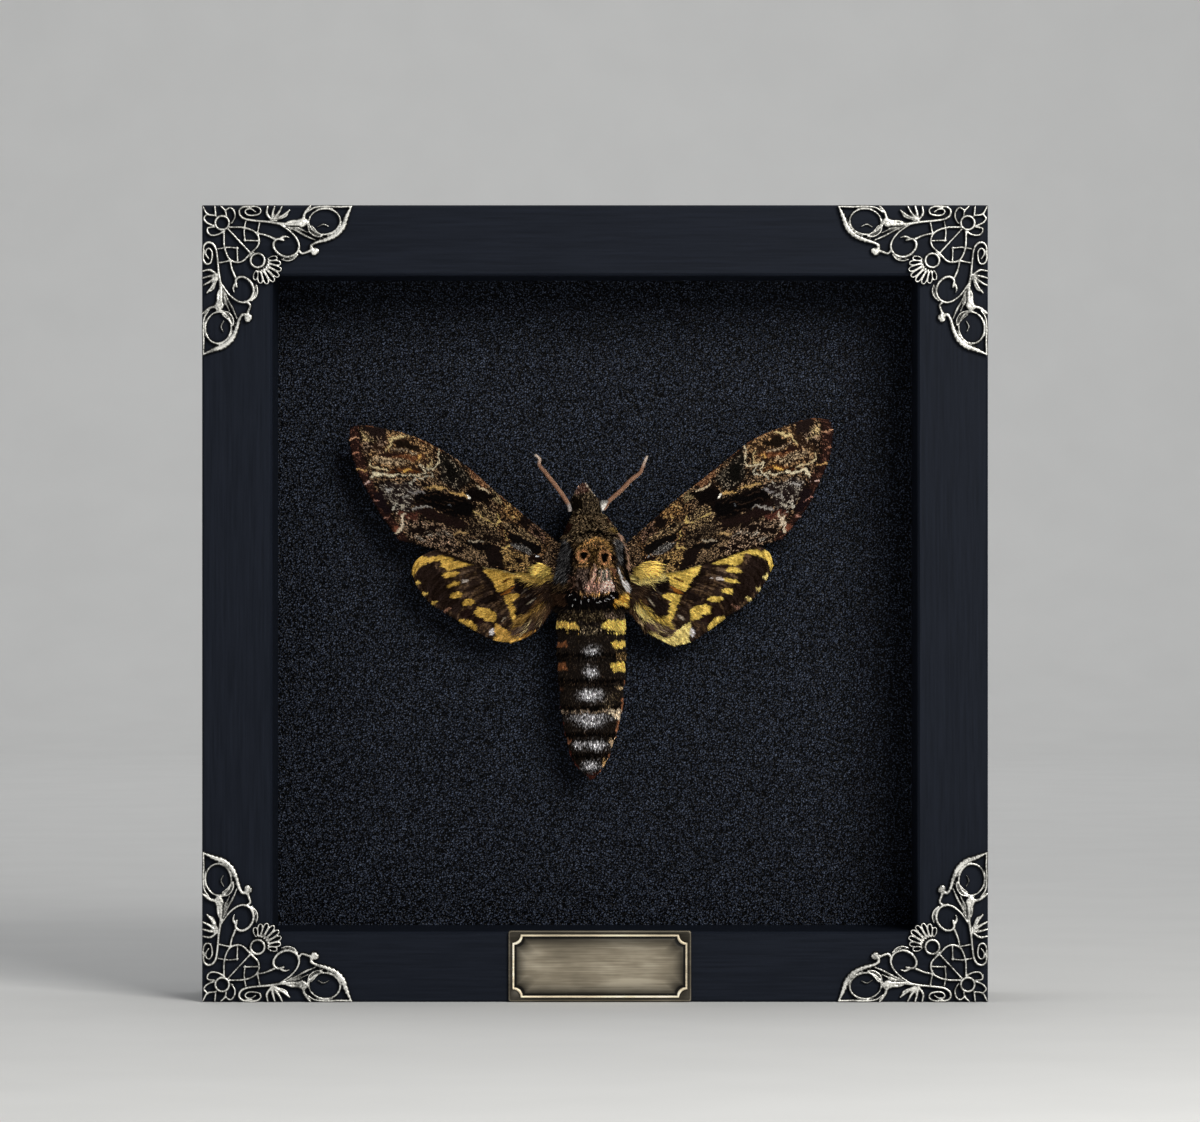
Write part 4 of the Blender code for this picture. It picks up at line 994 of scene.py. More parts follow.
def make_membrane(wing, painter, material, last, seed):
    """Both faces of a wing, joined round its rim."""
    rows = int(wing.size[0] * 1.04 / WING_STEP)
    columns = int(wing.size[1] / WING_STEP)
    lengthwise, widthwise = np.linspace(-0.012, last[0], rows), np.linspace(0.004, last[1], columns)
    a, b = [grid.ravel() for grid in np.meshgrid(lengthwise, widthwise, indexing="ij")]
    turned = wing.side < 0.0
    faces = [
        grid_faces(rows, columns, turned=turned),
        grid_faces(rows, columns, first=len(a), turned=not turned),
        rim_faces(rows, columns, turned),
    ]
    paint = painter(a, b, np.random.RandomState(seed).rand(len(a)))
    points = np.vstack([wing.at(a, b, -1.0), wing.at(a, b, 1.0)])
    return mesh_piece(wing.name + "_membrane", points, faces, material, np.vstack([paint, paint * 0.8]))


def wing_flakes(wing, painter, material, spacing, length, width, stray, speckle, last, seed):
    """Scales that break up the front of a wing, overlapping towards the margin."""
    a, b, random = wing.scatter(spacing, (-0.01, last[0] - 0.008), (0.01, last[1] - 0.01), seed)
    count = len(a)
    way = wing.outwards(a, b, random.normal(0.0, stray, count))
    shade = painter(a + 0.5 * length / wing.size[0], b, random.rand(count))
    shade = shade * np.exp(random.normal(0.0, speckle, count))[:, None]
    sizes = length * random.uniform(0.7, 1.25, count)
    widths = width * random.uniform(0.7, 1.2, count)
    lift = random.uniform(0.03, 0.14, count)
    return tufts(
        wing.name + "_scales", wing.at(a, b, -1.0), way, FORWARD, sizes, widths, 0.03, lift, shade,
        np.column_stack([0.05 + 0.93 * a, 0.02 + 0.96 * b]), material, shading_tones=SOFT_ROOT_SHADE_TIP_LIGHT,
    )


def wing_hair(wing, name, corners, spacing, length, width, turn, painter, material, seed):
    """Long soft hair over a stretch of a wing; corners are in hundredths."""
    reach = np.array(corners) / 100.0
    low, high = reach.min(axis=0), reach.max(axis=0)
    a, b, random = wing.scatter(spacing, (low[0], high[0]), (low[1], high[1]), seed)
    inside = Canvas(a * 100.0, b * 100.0, (0, 0, 0)).area(corners, 2.0)
    kept = inside > random.rand(len(a)) * 0.9 + 0.05
    a, b = a[kept], b[kept]
    count = len(a)
    way = wing.outwards(a, b, turn + random.normal(0.0, 0.22, count))
    tone = np.exp(random.normal(0.0, 0.28, count))[:, None]
    sizes = length * random.uniform(0.6, 1.2, count)
    widths = width * random.uniform(0.7, 1.2, count)
    lift = random.uniform(0.15, 0.7, count)
    shade = painter(a, b, random.rand(count)) * tone
    place = np.column_stack([0.02 + 0.96 * np.clip(a, 0.0, 1.0), 0.02 + 0.96 * b])
    return tufts(name, wing.at(a, b, -1.0), way, FORWARD, sizes, widths, 0.05, lift, shade, place, material)


def wing_fringe(wing, painter, material, last, length, seed):
    """The short fringe along the outer margin and the rear edge."""
    random = np.random.RandomState(seed)
    outer, inner = 520, 640
    count = outer + inner
    a = np.concatenate([np.full(outer, last[0] - 0.004), random.uniform(0.1, last[0], inner)])
    b = np.concatenate([random.uniform(0.0, last[1], outer), np.full(inner, last[1] - 0.006)])
    turn = np.concatenate([np.full(outer, 0.1), np.full(inner, 1.15)]) + random.normal(0.0, 0.15, count)
    root = wing.at(a, b, -1.0)
    root[:, 1] += MEMBRANE_HALF
    tone = np.exp(random.normal(0.0, 0.3, count))[:, None]
    sizes = length * random.uniform(0.75, 1.0, count)
    lift = random.uniform(-0.05, 0.08, count)
    shade = painter(a, b, random.rand(count)) * tone
    return tufts(
        wing.name + "_fringe", root, wing.outwards(a, b, turn), FORWARD, sizes, 0.16, 0.06, lift, shade,
        np.column_stack([0.02 + 0.96 * a, 0.02 + 0.96 * b]), material, sink=0.0, shading_tones=SOFT_ROOT_SHADE_TIP_LIGHT,
    )


def lemon_hair(a, b, fleck):
    """The yellow of the tufts at the roots of the forewings, darkest at the body."""
    shade = 1.3 * np.tile(ink(255, 220, 118), (len(a), 1))
    return shade * ((0.45 + 0.55 * smooth((a - 0.01) / 0.05)) * (0.3 + 1.0 * fleck))[:, None]


def dress_wing(wing, slot, painter, last, flakes, fringe, hair, materials, seed):
    """A wing's membrane, scales, fringe and long hair, with settings as their functions take them."""
    scales, coat = materials
    stands_for(make_membrane(wing, painter, scales, last, seed + 6), slot, wing.name)
    stands_for(wing_flakes(wing, painter, coat, *flakes, last, seed + 7), slot)
    stands_for(wing_fringe(wing, painter, coat, last, fringe, seed + 8), slot)
    for k, (name, *settings) in enumerate(hair):
        stands_for(wing_hair(wing, wing.name + name, *settings, coat, seed + 9 + k), slot)


def make_wings(scales, coat):
    for name, shape, side, far, seed in (
        ("forewing_left", FOREWING_LEFT, -1.0, 9.0, 20),
        ("forewing_right", FOREWING_RIGHT, 1.0, 14.0, 40),
    ):
        wing = Wing(name, shape, side, FOREWING_Y, FOREWING_VEINS, FOREWING_SIZE)

        def painter(a, b, fleck, seed=seed):
            return paint_forewing(a, b, seed, fleck)

        tuft = [(0, 80), (4, 72), (far - 3.0, 74), (far, 82), (far, 96), (0, 97)]
        hair = [("_base_hair", tuft, 0.27, 2.9, 0.22, 0.5, lemon_hair)]
        flakes = (0.27, 0.44, 0.23, 0.3, 0.3)
        dress_wing(wing, "forewing_scales", painter, (0.987, 0.975), flakes, 0.75, hair, (scales, coat), seed)
    for name, shape, side, bright, seed in (
        ("hindwing_left", HINDWING_LEFT, -1.0, False, 60),
        ("hindwing_right", HINDWING_RIGHT, 1.0, True, 80),
    ):
        wing = Wing(name, shape, side, HINDWING_Y, HINDWING_VEINS, HINDWING_SIZE)

        def painter(a, b, fleck, seed=seed, bright=bright):
            return paint_hindwing(a, b, seed, bright, fleck)

        base = [(-4, 0), (16, 0), (22, 20), (20, 45), (12, 70), (8, 98), (-4, 98)]
        anal = [(8, 72), (60, 78), (78, 90), (70, 97), (10, 97)]
        hair = [
            ("_base_hair", base, 0.3, 3.4, 0.16, 0.1, painter),
            ("_anal_hair", anal, 0.4, 2.6, 0.14, 0.05, painter),
        ]
        flakes = (0.25, 0.8, 0.17, 0.1, 0.2)
        dress_wing(wing, "hindwing_scales", painter, (0.978, 0.965), flakes, 0.7, hair, (scales, coat), seed)


# Body


def body_table():
    """Height, side shift, half width, front and rear depth of the body in close steps from tail to head."""
    rows = []
    for depth, half in reversed(ABDOMEN_OUTLINE):
        shift = np.interp(depth, *np.array(ABDOMEN_SHIFT).T)
        rows.append((-depth, shift, half, half * ABDOMEN_DEPTH_SHARE, half * ABDOMEN_DEPTH_SHARE))
    rows = np.array(rows + list(THORAX) + list(HEAD))
    heights = np.arange(rows[0, 0], rows[-1, 0] + 0.05, 0.1)
    reach = 8
    weights = np.exp(-((np.arange(-reach, reach + 1) / 4.0) ** 2))
    columns = [heights]
    for k in range(1, 5):
        values = np.pad(np.interp(heights, rows[:, 0], rows[:, k]), reach, mode="edge")
        columns.append(np.convolve(values, weights / weights.sum(), mode="valid"))
    return np.array(columns)


BODY = body_table()
BODY_TOP = BODY[0, -1]
BODY_END = BODY[0, 0]


def coat_depth(z):
    """How far the skin lies inside the body's outline at this height."""
    heights = (-40.0, -1.5, 1.5, 18.0, 21.0, 27.0)
    return np.interp(z, heights, (ABDOMEN_COAT, ABDOMEN_COAT, THORAX_COAT, THORAX_COAT, HEAD_COAT, HEAD_COAT))


def segment_swell(z):
    """Each ring of the abdomen widens to its rear edge and steps in behind it."""
    starts = np.concatenate([[0.3], SEGMENT_ENDS])
    i = np.clip(np.searchsorted(starts, -z, side="right") - 1, 0, len(starts) - 2)
    share = np.clip((-z - starts[i]) / (starts[i + 1] - starts[i]), 0.0, 1.0)
    swell = 1.0 + 0.045 * (smooth(share * 1.15) - 0.62) * smooth((1.0 - share) * 9.0 + 0.25)
    return np.where(z < -0.3, swell, 1.0)


def skin_at(angle, z, rise=0.0):
    """A place on the skin, or above it by rise."""
    shift, half, front, rear = [np.interp(z, BODY[0], BODY[k]) for k in range(1, 5)]
    depth = np.where(np.sin(angle) > 0.0, rear, front)
    inset = coat_depth(z) - rise
    swell = segment_swell(z)
    wide = np.maximum(half * swell - inset, 0.3 * half)
    deep = np.maximum(depth * swell - inset, 0.3 * depth)
    x = shift + wide * np.cos(angle)
    y = deep * np.sin(angle)
    ripple = 0.12 * (noise(angle * 7.0 + 3.0, z * 0.9, 301) - 0.5)
    return np.column_stack([MOTH_X + x + ripple * np.cos(angle), y + ripple * np.sin(angle), MOTH_Z + z])


def skin_frame(angle, z):
    """The outward normal and the way down the body on the skin."""
    step = 0.02
    around = skin_at(angle + step, z) - skin_at(angle - step, z)
    down = skin_at(angle, z - 0.3) - skin_at(angle, z + 0.3)
    normal = np.cross(down, around)
    normal /= np.linalg.norm(normal, axis=1, keepdims=True)
    down /= np.linalg.norm(down, axis=1, keepdims=True)
    return normal, down


def paint_head(c):
    c.mottle(c.area([(-8, 14), (8, 14), (6, 21), (-6, 21)], 1.0), (30, 23, 18), 0.95, (214, 182, 138), 0.33)
    c.mottle(c.area([(-6, 20.5), (4, 20.5), (3, 24), (0, 28.5), (-4, 28.5)], 0.8), (36, 30, 25), 0.95,
             (172, 148, 114), 0.34)
    c.lay(c.stroke([(-3.2, 15.6, 0.2), (-0.5, 16.3, 0.3), (1.5, 16.6, 0.35), (4.4, 15.4, 0.25)]),
          (16, 13, 11), 0.9)
    c.lay(c.area([(-4.4, 21.3), (-1.9, 21.5), (-2.1, 24.2), (-3.8, 24.5)], 0.6), (24, 19, 13), 0.8)
    c.mottle(c.area([(-3.9, 25.0), (-0.6, 25.6), (-0.8, 28), (-3.4, 28)], 0.8), (78, 50, 42), 0.8,
             (204, 168, 148), 0.3)
    c.lay(c.area([(-6.2, 15.9), (-4.6, 16.4), (-3.8, 18.2), (-5.6, 18.4)], 0.8), (52, 32, 25), 0.7)
    c.lay(c.area([(3.6, 18.6), (5.2, 18.0), (4.4, 20.6), (3.2, 20.6)]), (66, 42, 30), 0.7)
    c.sprinkle(c.stroke([(4.0, 17.0, 0.15), (4.8, 16.6, 0.3), (5.5, 16.0, 0.15)], 0.4), (226, 186, 100), 0.55)
    c.lay(c.stroke([(-1.5, 27.4, 0.14), (-0.4, 26.4, 0.2), (0.8, 25.0, 0.16), (1.6, 24.0, 0.14)]),
          (214, 196, 176), 0.9)


def paint_sides(c):
    """The grey patches over the wing bases, their dark edges and the pale hair outside them."""
    left = [(-8.8, 14.0), (-5.0, 15.2), (-4.2, 12.0), (-4.0, 5.6), (-6.0, 4.6), (-8.8, 5.2)]
    c.mottle(c.area(left, 0.8), (26, 25, 26), 0.9, (120, 118, 118), 0.4)
    c.lay(c.stroke([(-4.6, 14.0, 0.2), (-4.2, 9.6, 0.35), (-4.6, 5.5, 0.3)], 0.4), (20, 17, 15), 0.8)
    c.lay(c.area([(-12, 15), (-8.8, 14), (-8.8, 3), (-12, 3)]), (34, 22, 17), 0.85)
    c.lay(c.stroke([(-7.6, 15.0, 0.1), (-8.5, 12.4, 0.12), (-8.8, 9.0, 0.12), (-8.6, 6.0, 0.1)]),
          (120, 112, 108), 0.7)
    right = [(5.0, 15.0), (6.8, 14.8), (7.6, 12), (7.2, 9.0), (5.8, 8.6), (5.4, 12)]
    c.mottle(c.area(right, 0.8), (34, 33, 34), 0.9, (140, 138, 138), 0.5)
    c.lay(c.stroke([(5.9, 8.2, 0.15), (6.4, 6.4, 0.3), (7.2, 4.8, 0.45), (8.4, 3.0, 0.35)], 0.4),
          (236, 230, 228), 0.95)
    c.lay(c.stroke([(7.0, 12.8, 0.2), (7.4, 9.5, 0.4), (8.0, 6.0, 0.5), (8.2, 4.8, 0.2)]), (14, 11, 10), 0.95)
    c.lay(c.stroke([(5.2, 17.6, 0.14), (6.5, 15.4, 0.2), (7.5, 13.2, 0.2), (8.1, 10.8, 0.22),
                    (8.4, 8.2, 0.2)]), (204, 164, 138), 0.9)
    c.lay(c.area([(9.2, 9.0), (12, 9.5), (12, 0), (8.9, 0), (9.3, 4)]), (240, 212, 132), 0.92)
    c.mottle(c.area([(4.8, 0.0), (6.6, 2.4), (9.5, 2.6), (9.5, -2.4), (5.0, -2.4)], 0.8), (204, 152, 60),
             0.95, (250, 218, 118), 0.55)
    # dark brown waist patch on the left: the waist's yellow darkened by painted shade
    c.lay(c.area([(-9.5, 2.6), (-5.6, 2.2), (-5.0, -1.3), (-9.5, -1.8)], 0.8), (60, 42, 30), 0.85)


def paint_skull(c):
    """The pale mask on the thorax."""
    brow = [(-3.2, 12.0), (-2.3, 13.7), (-0.6, 14.7), (1.0, 15.1), (2.8, 14.9), (4.1, 13.9), (4.8, 12.4),
            (5.2, 10.6)]
    cheeks = [(5.2, 8.8), (5.9, 6.8), (5.9, 4.2), (5.2, 2.4), (4.6, 1.2), (-2.2, 1.2), (-2.6, 2.4),
              (-2.0, 4.0)]
    mask = brow + cheeks + [(-2.4, 6.6), (-3.2, 8.8), (-3.5, 10.4)]
    c.mottle(c.area(mask, 0.5), (50, 35, 24), 0.97, (262, 204, 132), 0.53)
    c.sprinkle(c.stroke([(-2.8, 12.2, 0.2), (-0.9, 14.1, 0.3), (1.6, 14.7, 0.34), (3.8, 13.7, 0.3)], 0.5),
               (250, 196, 116), 0.95)
    c.sprinkle(c.stroke([(3.6, 13.6, 0.35), (4.5, 12.2, 0.35), (4.9, 10.6, 0.25)], 0.4), (232, 184, 108),
               0.95)
    c.sprinkle(c.area([(-0.8, 8.6), (1.6, 8.6), (1.9, 12.6), (-0.6, 12.6)], 0.8), (150, 118, 64), 0.36)
    for x, z, wide, high in ((-1.65, 10.8, 1.5, 1.45), (3.1, 10.6, 1.65, 1.7)):
        c.mottle(c.spot(x, z, wide, high, 0.5), (168, 114, 70), 0.8, (262, 200, 142), 0.85)
    c.lay(c.spot(-1.65, 10.85, 0.82, 0.8, 0.35), (14, 10, 9), 0.97)
    c.lay(c.spot(3.1, 10.6, 0.86, 1.12, 0.35), (14, 10, 9), 0.97)
    c.lay(c.stroke([(4.6, 12.0, 0.1), (5.05, 10.6, 0.28), (4.9, 8.9, 0.12)]), (30, 18, 14), 0.9)
    c.lay(c.stroke([(-3.6, 11.4, 0.12), (-3.3, 9.9, 0.24), (-2.3, 8.9, 0.14)]), (28, 19, 15), 0.85)
    c.mottle(c.area([(-3.2, 8.0), (-0.2, 8.4), (0.2, 4.4), (-0.6, 2.6), (-3.6, 2.8)], 0.9), (42, 33, 30),
             0.85, (168, 142, 126), 0.5)
    c.lay(c.area([(0.2, 8.4), (1.2, 8.4), (1.6, 5.6), (0.8, 4.4), (-0.6, 5.0)], 0.7), (140, 104, 84), 0.8)
    c.sprinkle(c.stroke([(0.6, 8.6, 0.3), (1.0, 6.6, 0.5), (0.4, 5.0, 0.5)], 0.5), (262, 214, 186), 0.9)
    c.mottle(c.area([(1.6, 8.0), (4.2, 7.8), (4.4, 5.0), (2.0, 4.8)], 0.8), (74, 64, 52), 0.8,
             (236, 226, 206), 0.75)
    c.lay(c.stroke([(4.4, 7.9, 0.3), (5.3, 7.6, 0.45), (5.6, 6.4, 0.3)], 0.5), (150, 104, 78), 0.85)
    c.lay(c.area([(-0.4, 4.6), (2.2, 4.8), (3.0, 2.6), (-0.8, 2.2)], 0.8), (116, 86, 74), 0.7)
    c.sprinkle(c.area([(-1.4, 4.8), (2.2, 4.8), (3.0, 2.6), (-1.2, 2.2)], 0.8), (262, 206, 184), 0.7)
    c.mottle(c.area([(2.2, 5.2), (5.3, 5.0), (5.5, 3.0), (2.2, 2.4)], 0.6), (132, 98, 86), 0.9,
             (290, 256, 238), 0.6)
    for k in range(5):
        z = 5.0 - 0.52 * k
        c.lay(c.stroke([(2.2, z - 0.5, 0.07), (3.8, z - 0.05, 0.2), (5.3, z, 0.07)], 0.3), (320, 286, 268),
              0.95)
    for path in (
        [(-1.4, 4.9, 0.08), (-0.6, 3.6, 0.22), (-0.2, 2.6, 0.08)],
        [(0.9, 8.2, 0.1), (0.7, 6.4, 0.24), (0.2, 4.8, 0.1)],
        [(2.5, 7.7, 0.08), (2.2, 6.4, 0.2), (1.7, 5.2, 0.08)],
        [(3.6, 7.5, 0.08), (3.5, 6.4, 0.2), (3.2, 5.4, 0.08)],
    ):
        c.lay(c.stroke(path, 0.3), (300, 252, 226), 0.9)
    for path in (
        [(1.7, 8.2, 0.08), (1.5, 6.8, 0.2), (1.0, 5.2, 0.1)],
        [(-0.4, 7.6, 0.1), (-0.5, 6.0, 0.26), (-1.0, 4.8, 0.1)],
        [(4.5, 6.6, 0.1), (4.9, 5.2, 0.2), (5.6, 4.4, 0.1)],
        [(-2.6, 5.6, 0.2), (-2.2, 4.2, 0.4), (-1.6, 2.8, 0.2)],
    ):
        c.lay(c.stroke(path, 0.3), (32, 23, 20), 0.85)
    c.lay(c.stroke([(1.8, 2.6, 0.15), (3.4, 3.0, 0.18), (4.9, 3.4, 0.15)]), (84, 46, 36), 0.7)
    c.sprinkle(c.area([(-5.4, 6.6), (-3.4, 7.0), (-3.0, 2.6), (-5.0, 2.2)], 0.8), (150, 112, 92), 0.34)
    collar = [(-5.8, 3.2), (-3.6, 2.4), (-1.0, 1.7), (1.6, 1.6), (4.0, 2.0), (5.6, 3.2), (6.4, 2.2),
              (5.2, -0.4), (2.2, -1.3)]
    c.lay(c.area(collar + [(-2.2, -1.4), (-5.0, -0.7), (-6.2, 1.2)], 1.2), (13, 10, 10), 0.95)


def paint_abdomen(c):
    """Dark rings with yellow flanks, and grey-white spots down the middle; the left flank is painted darker
    as shade and the right carries painted highlights.
    """
    whole = c.area([(-12, -1.4), (12, -1.4), (12, -42), (-12, -42)], 0.5)
    c.lay(whole, (40, 34, 30), 1.0)
    for end in SEGMENT_ENDS[:-1]:
        c.lay(c.stroke([(-9, 0.8 - end, 0.6), (9, 0.8 - end, 0.6)], 0.9), (16, 13, 12), 0.85)
    c.sprinkle(whole, (70, 56, 44), 0.16)
    first = c.area([(-8, -1.9), (8, -1.9), (8, -4.4), (-8, -4.4)], 0.5)
    c.mottle(first, (34, 27, 20), 0.85, (150, 130, 98), 0.32)
    c.sprinkle(c.area([(3.0, -1.9), (7.8, -1.9), (7.8, -3.6), (3.4, -3.6)], 0.6), (176, 152, 132), 0.5)
    c.lay(c.area([(2.2, -5.0), (4.0, -4.0), (8.6, -3.7), (8.6, -6.5), (5.2, -6.4), (2.6, -5.9)], 0.5),
          (262, 232, 124), 0.97)
    c.lay(c.area([(-8.6, -4.6), (-6.2, -4.2), (-3.2, -4.8), (-2.8, -6.2), (-6.4, -6.0), (-8.6, -6.2)], 0.5),
          (250, 212, 112), 0.94)
    c.sprinkle(c.area([(-2.6, -5.2), (2.4, -5.2), (2.4, -7.4), (-2.6, -7.4)], 0.7), (158, 140, 112), 0.5)
    c.lay(c.stroke([(-1.9, -5.3, 0.12), (0.0, -4.7, 0.22), (1.9, -5.3, 0.12)]), (14, 12, 12), 0.9)
    # yellow patches on the right flank; their left counterparts are the yellow darkened to orange-brown by
    # painted shade
    for top, bottom, right, left in ((-8.4, -10.5, 4.4, -5.6), (-13.3, -16.0, 4.4, -5.6)):
        c.lay(c.area([(right, top - 0.7), (12, top), (12, bottom), (right + 0.5, bottom)], 0.6),
              (262, 228, 118), 0.97)
        c.lay(c.area([(-12, top - 0.3), (left, top - 0.6), (left + 0.4, bottom + 0.4), (-12, bottom)], 0.9),
              (158, 102, 66), 0.9)
    c.sprinkle(c.area([(5.6, -11.6), (12, -11.4), (12, -12.9), (6.0, -12.9)]), (190, 154, 100), 0.5)
    # pale band on the right flank, and its left counterpart darkened by painted shade
    c.lay(c.area([(5.4, -19.2), (12, -19.0), (12, -20.4), (6.2, -20.0)], 0.4), (218, 188, 140), 0.9)
    c.lay(c.area([(-12, -19.2), (-6.2, -19.4), (-6.4, -20.4), (-12, -20.4)]), (104, 70, 52), 0.7)
    c.sprinkle(c.area([(3.0, -20.8), (6.6, -20.6), (5.4, -24.4), (2.0, -24.4)], 0.8), (130, 112, 86), 0.4)
    c.lay(c.stroke([(-7.4, -25.3, 0.26), (-3.0, -25.1, 0.22), (3.0, -25.0, 0.22), (6.8, -24.8, 0.26)], 0.3),
          (206, 180, 152), 0.9)
    # edge lines of the abdomen, the left one painted darker as shade
    for path, shade in (
        ([(7.6, -18.0, 0.14), (6.9, -25.5, 0.24), (5.5, -31.5, 0.3), (3.8, -36.3, 0.3), (1.6, -39.6, 0.2)],
         (176, 118, 84)),
        ([(-7.5, -18.0, 0.14), (-6.9, -25.5, 0.24), (-5.9, -31.5, 0.3), (-4.4, -36.3, 0.3),
          (-1.6, -39.6, 0.2)], (104, 54, 44)),
    ):
        c.lay(c.stroke(path, 0.5), shade, 0.75)
    # pale patches on the right flank are painted highlights; the brown-pink left one is its counterpart
    # darkened by painted shade
    c.lay(c.area([(3.6, -24.7), (12, -24.5), (12, -27.6), (6.0, -27.0)], 0.4), (262, 240, 208), 0.95)
    c.lay(c.area([(-7, -30.8), (-4.2, -31.5), (-5.0, -33.0), (-7, -32.6)], 0.4), (186, 128, 96), 0.9)
    c.lay(c.area([(3.8, -31.2), (7, -31.0), (5.6, -34.4), (4.6, -33.4)], 0.4), (262, 228, 184), 0.95)
    c.lay(c.area([(2.6, -36.0), (5, -36.0), (3.0, -38.6), (2.2, -37.6)], 0.4), (244, 200, 140), 0.9)
    c.lay(c.area([(-3, -39.3), (3, -39.3), (2, -41.5), (-2, -41.5)]), (92, 52, 42), 0.85)
    spots = (
        (0.1, -10.9, 1.5, 0.9),
        (0.0, -15.9, 1.5, 1.15),
        (-0.1, -21.3, 2.7, 1.35),
        (-0.2, -26.5, 3.8, 1.0),
        (-0.1, -27.8, 2.3, 0.9),
        (0.9, -32.8, 2.6, 1.15),
        (-2.9, -32.8, 0.9, 0.9),
        (0.0, -37.6, 1.8, 1.3),
    )
    for x, z, wide, high in spots:
        c.sprinkle(c.spot(x, z, wide * 1.15, high * 1.2, 2.0), (206, 204, 208), 0.8)
        c.lay(c.spot(x, z, wide * 0.6, high * 0.55, 1.4), (172, 170, 175), 0.8)
        c.sprinkle(c.spot(x, z, wide * 0.8, high * 0.75, 1.3), (264, 262, 266), 1.0)


def paint_body(x, y, z, fleck):
    """Body colours from places measured from the waist, those of the underside behind the wings."""
    push_x = (noise(x / 0.8 + 40.0, z / 0.8 + 90.0, 311) - 0.5) * 0.6
    push_z = (noise(x / 0.35 + 40.0, z / 0.8 + 90.0, 312) - 0.5) * 0.8
    grit = grains(x, z, 0.22, 0.34, 331, fleck, 0.8)
    fleck = grains(x, z, 0.2, 0.3, 333, fleck, 1.3)
    c = Canvas(x + push_x, z + push_z, (30, 23, 17), grit=grit)
    c.sprinkle(np.ones(len(x)), (140, 112, 78), 0.3)
    paint_head(c)
    paint_sides(c)
    paint_skull(c)
    paint_abdomen(c)
    under = Canvas(x, z, (52, 38, 25))
    under.lay(under.area([(-12, -1.6), (12, -1.6), (12, -42), (-12, -42)], 0.5), (150, 112, 54), 1.0)
    for end in SEGMENT_ENDS:
        under.lay(under.stroke([(-9, -end, 0.7), (9, -end, 0.7)], 0.8), (56, 42, 30), 0.85)
    under.sprinkle(np.ones(len(x)), (176, 144, 92), 0.2)
    share = smooth((y - 0.5) / 2.5)[:, None]
    return c.flecked(fleck) * (1.0 - share) + under.flecked(fleck) * share


def body_paint_at(points, random):
    """Body colours at places in the frame's own millimetres."""
    return paint_body(points[:, 0] - MOTH_X, points[:, 1], points[:, 2] - MOTH_Z, random.rand(len(points)))


def uneven(random, count, spread, lit=0.12, bright=2.5, dark=0.86):
    """How much brighter each tuft is than its paint: most a little darker, a few catching the light."""
    catches = random.rand(count) < lit
    return (np.where(catches, bright, dark) * np.exp(random.normal(0.0, spread, count)))[:, None]


def make_skin(material):
    """One closed skin over head, thorax and abdomen, darker than the coat that it shows through."""
    heights = np.linspace(BODY_TOP, BODY_END, SKIN_ROWS)
    angle = np.tile(np.arange(SKIN_SIDES) * 2.0 * math.pi / SKIN_SIDES, SKIN_ROWS)
    points = skin_at(angle, np.repeat(heights, SKIN_SIDES))
    crown = points[:SKIN_SIDES].mean(axis=0) + (0.0, 0.0, 0.15)
    tail = points[-SKIN_SIDES:].mean(axis=0) + (0.0, 0.0, -0.1)
    points = np.vstack([points, crown, tail])
    paint = body_paint_at(points, np.random.RandomState(500)) * 0.5
    made = mesh_piece("body_skin", points, tube_faces(SKIN_ROWS, SKIN_SIDES), material, paint)
    stands_for(made, "thorax_fur", "head", "thorax", "abdomen")


def astray(random, normal, down, spread):
    """The way down the body, turned a little aside for each tuft."""
    return down + np.cross(normal, down) * random.normal(0.0, spread, len(down))[:, None]


def body_hair(name, slot, angle, z, root, way, normal, length, width, thick, lift, shade, material,
              shading_tones=DEEP_ROOT_SHADE_TIP_LIGHT):
    """Tufts on the body. Their map runs round it and up it."""
    place = np.column_stack([(angle / (2.0 * math.pi)) % 1.0, (z - BODY_END) / (BODY_TOP - BODY_END)])
    place = 0.01 + 0.98 * place
    made = tufts(name, root, way, normal, length, width, thick, lift, shade, place, material, shading_tones=shading_tones)
    stands_for(made, slot)


def body_coat(name, slot, z_range, side, spacing, length, width, lift, stray, speckle, upwards, material,
              seed):
    """Short hair over one half of the body: side is -1 for the half in view, 1 for the underside."""
    random = np.random.RandomState(seed)
    angles, heights = [], []
    rows = int(abs(z_range[1] - z_range[0]) / spacing)
    for k in range(rows):
        z = z_range[0] + (z_range[1] - z_range[0]) * (k + 0.5) / rows
        half, depth = np.interp(z, BODY[0], BODY[2]), np.interp(z, BODY[0], BODY[3])
        around = math.pi * (0.5 * (half + depth))
        count = max(5, int(around / spacing))
        share = (np.arange(count) + random.rand(count)) / count
        angles.append(side * math.pi * share)
        heights.append(z + (random.rand(count) - 0.5) * spacing)
    angle = np.concatenate(angles)
    z = np.clip(np.concatenate(heights), BODY_END + 0.05, BODY_TOP - 0.05)
    count = len(angle)
    root = skin_at(angle, z)
    normal, down = skin_frame(angle, z)
    if upwards:
        down = -down
    across = np.cross(normal, down)
    turn = random.normal(0.0, stray, count)[:, None]
    way = down * np.cos(turn) + across * np.sin(turn)
    sizes = length * random.uniform(0.65, 1.2, count)
    shade = body_paint_at(root + way * sizes[:, None] * 0.5, random) * uneven(random, count, speckle)
    widths = width * random.uniform(0.7, 1.25, count)
    lift = lift * random.uniform(0.4, 1.0, count)
    body_hair(name, slot, angle, z, root, way, normal, sizes, widths, width * 0.45, lift, shade, material)


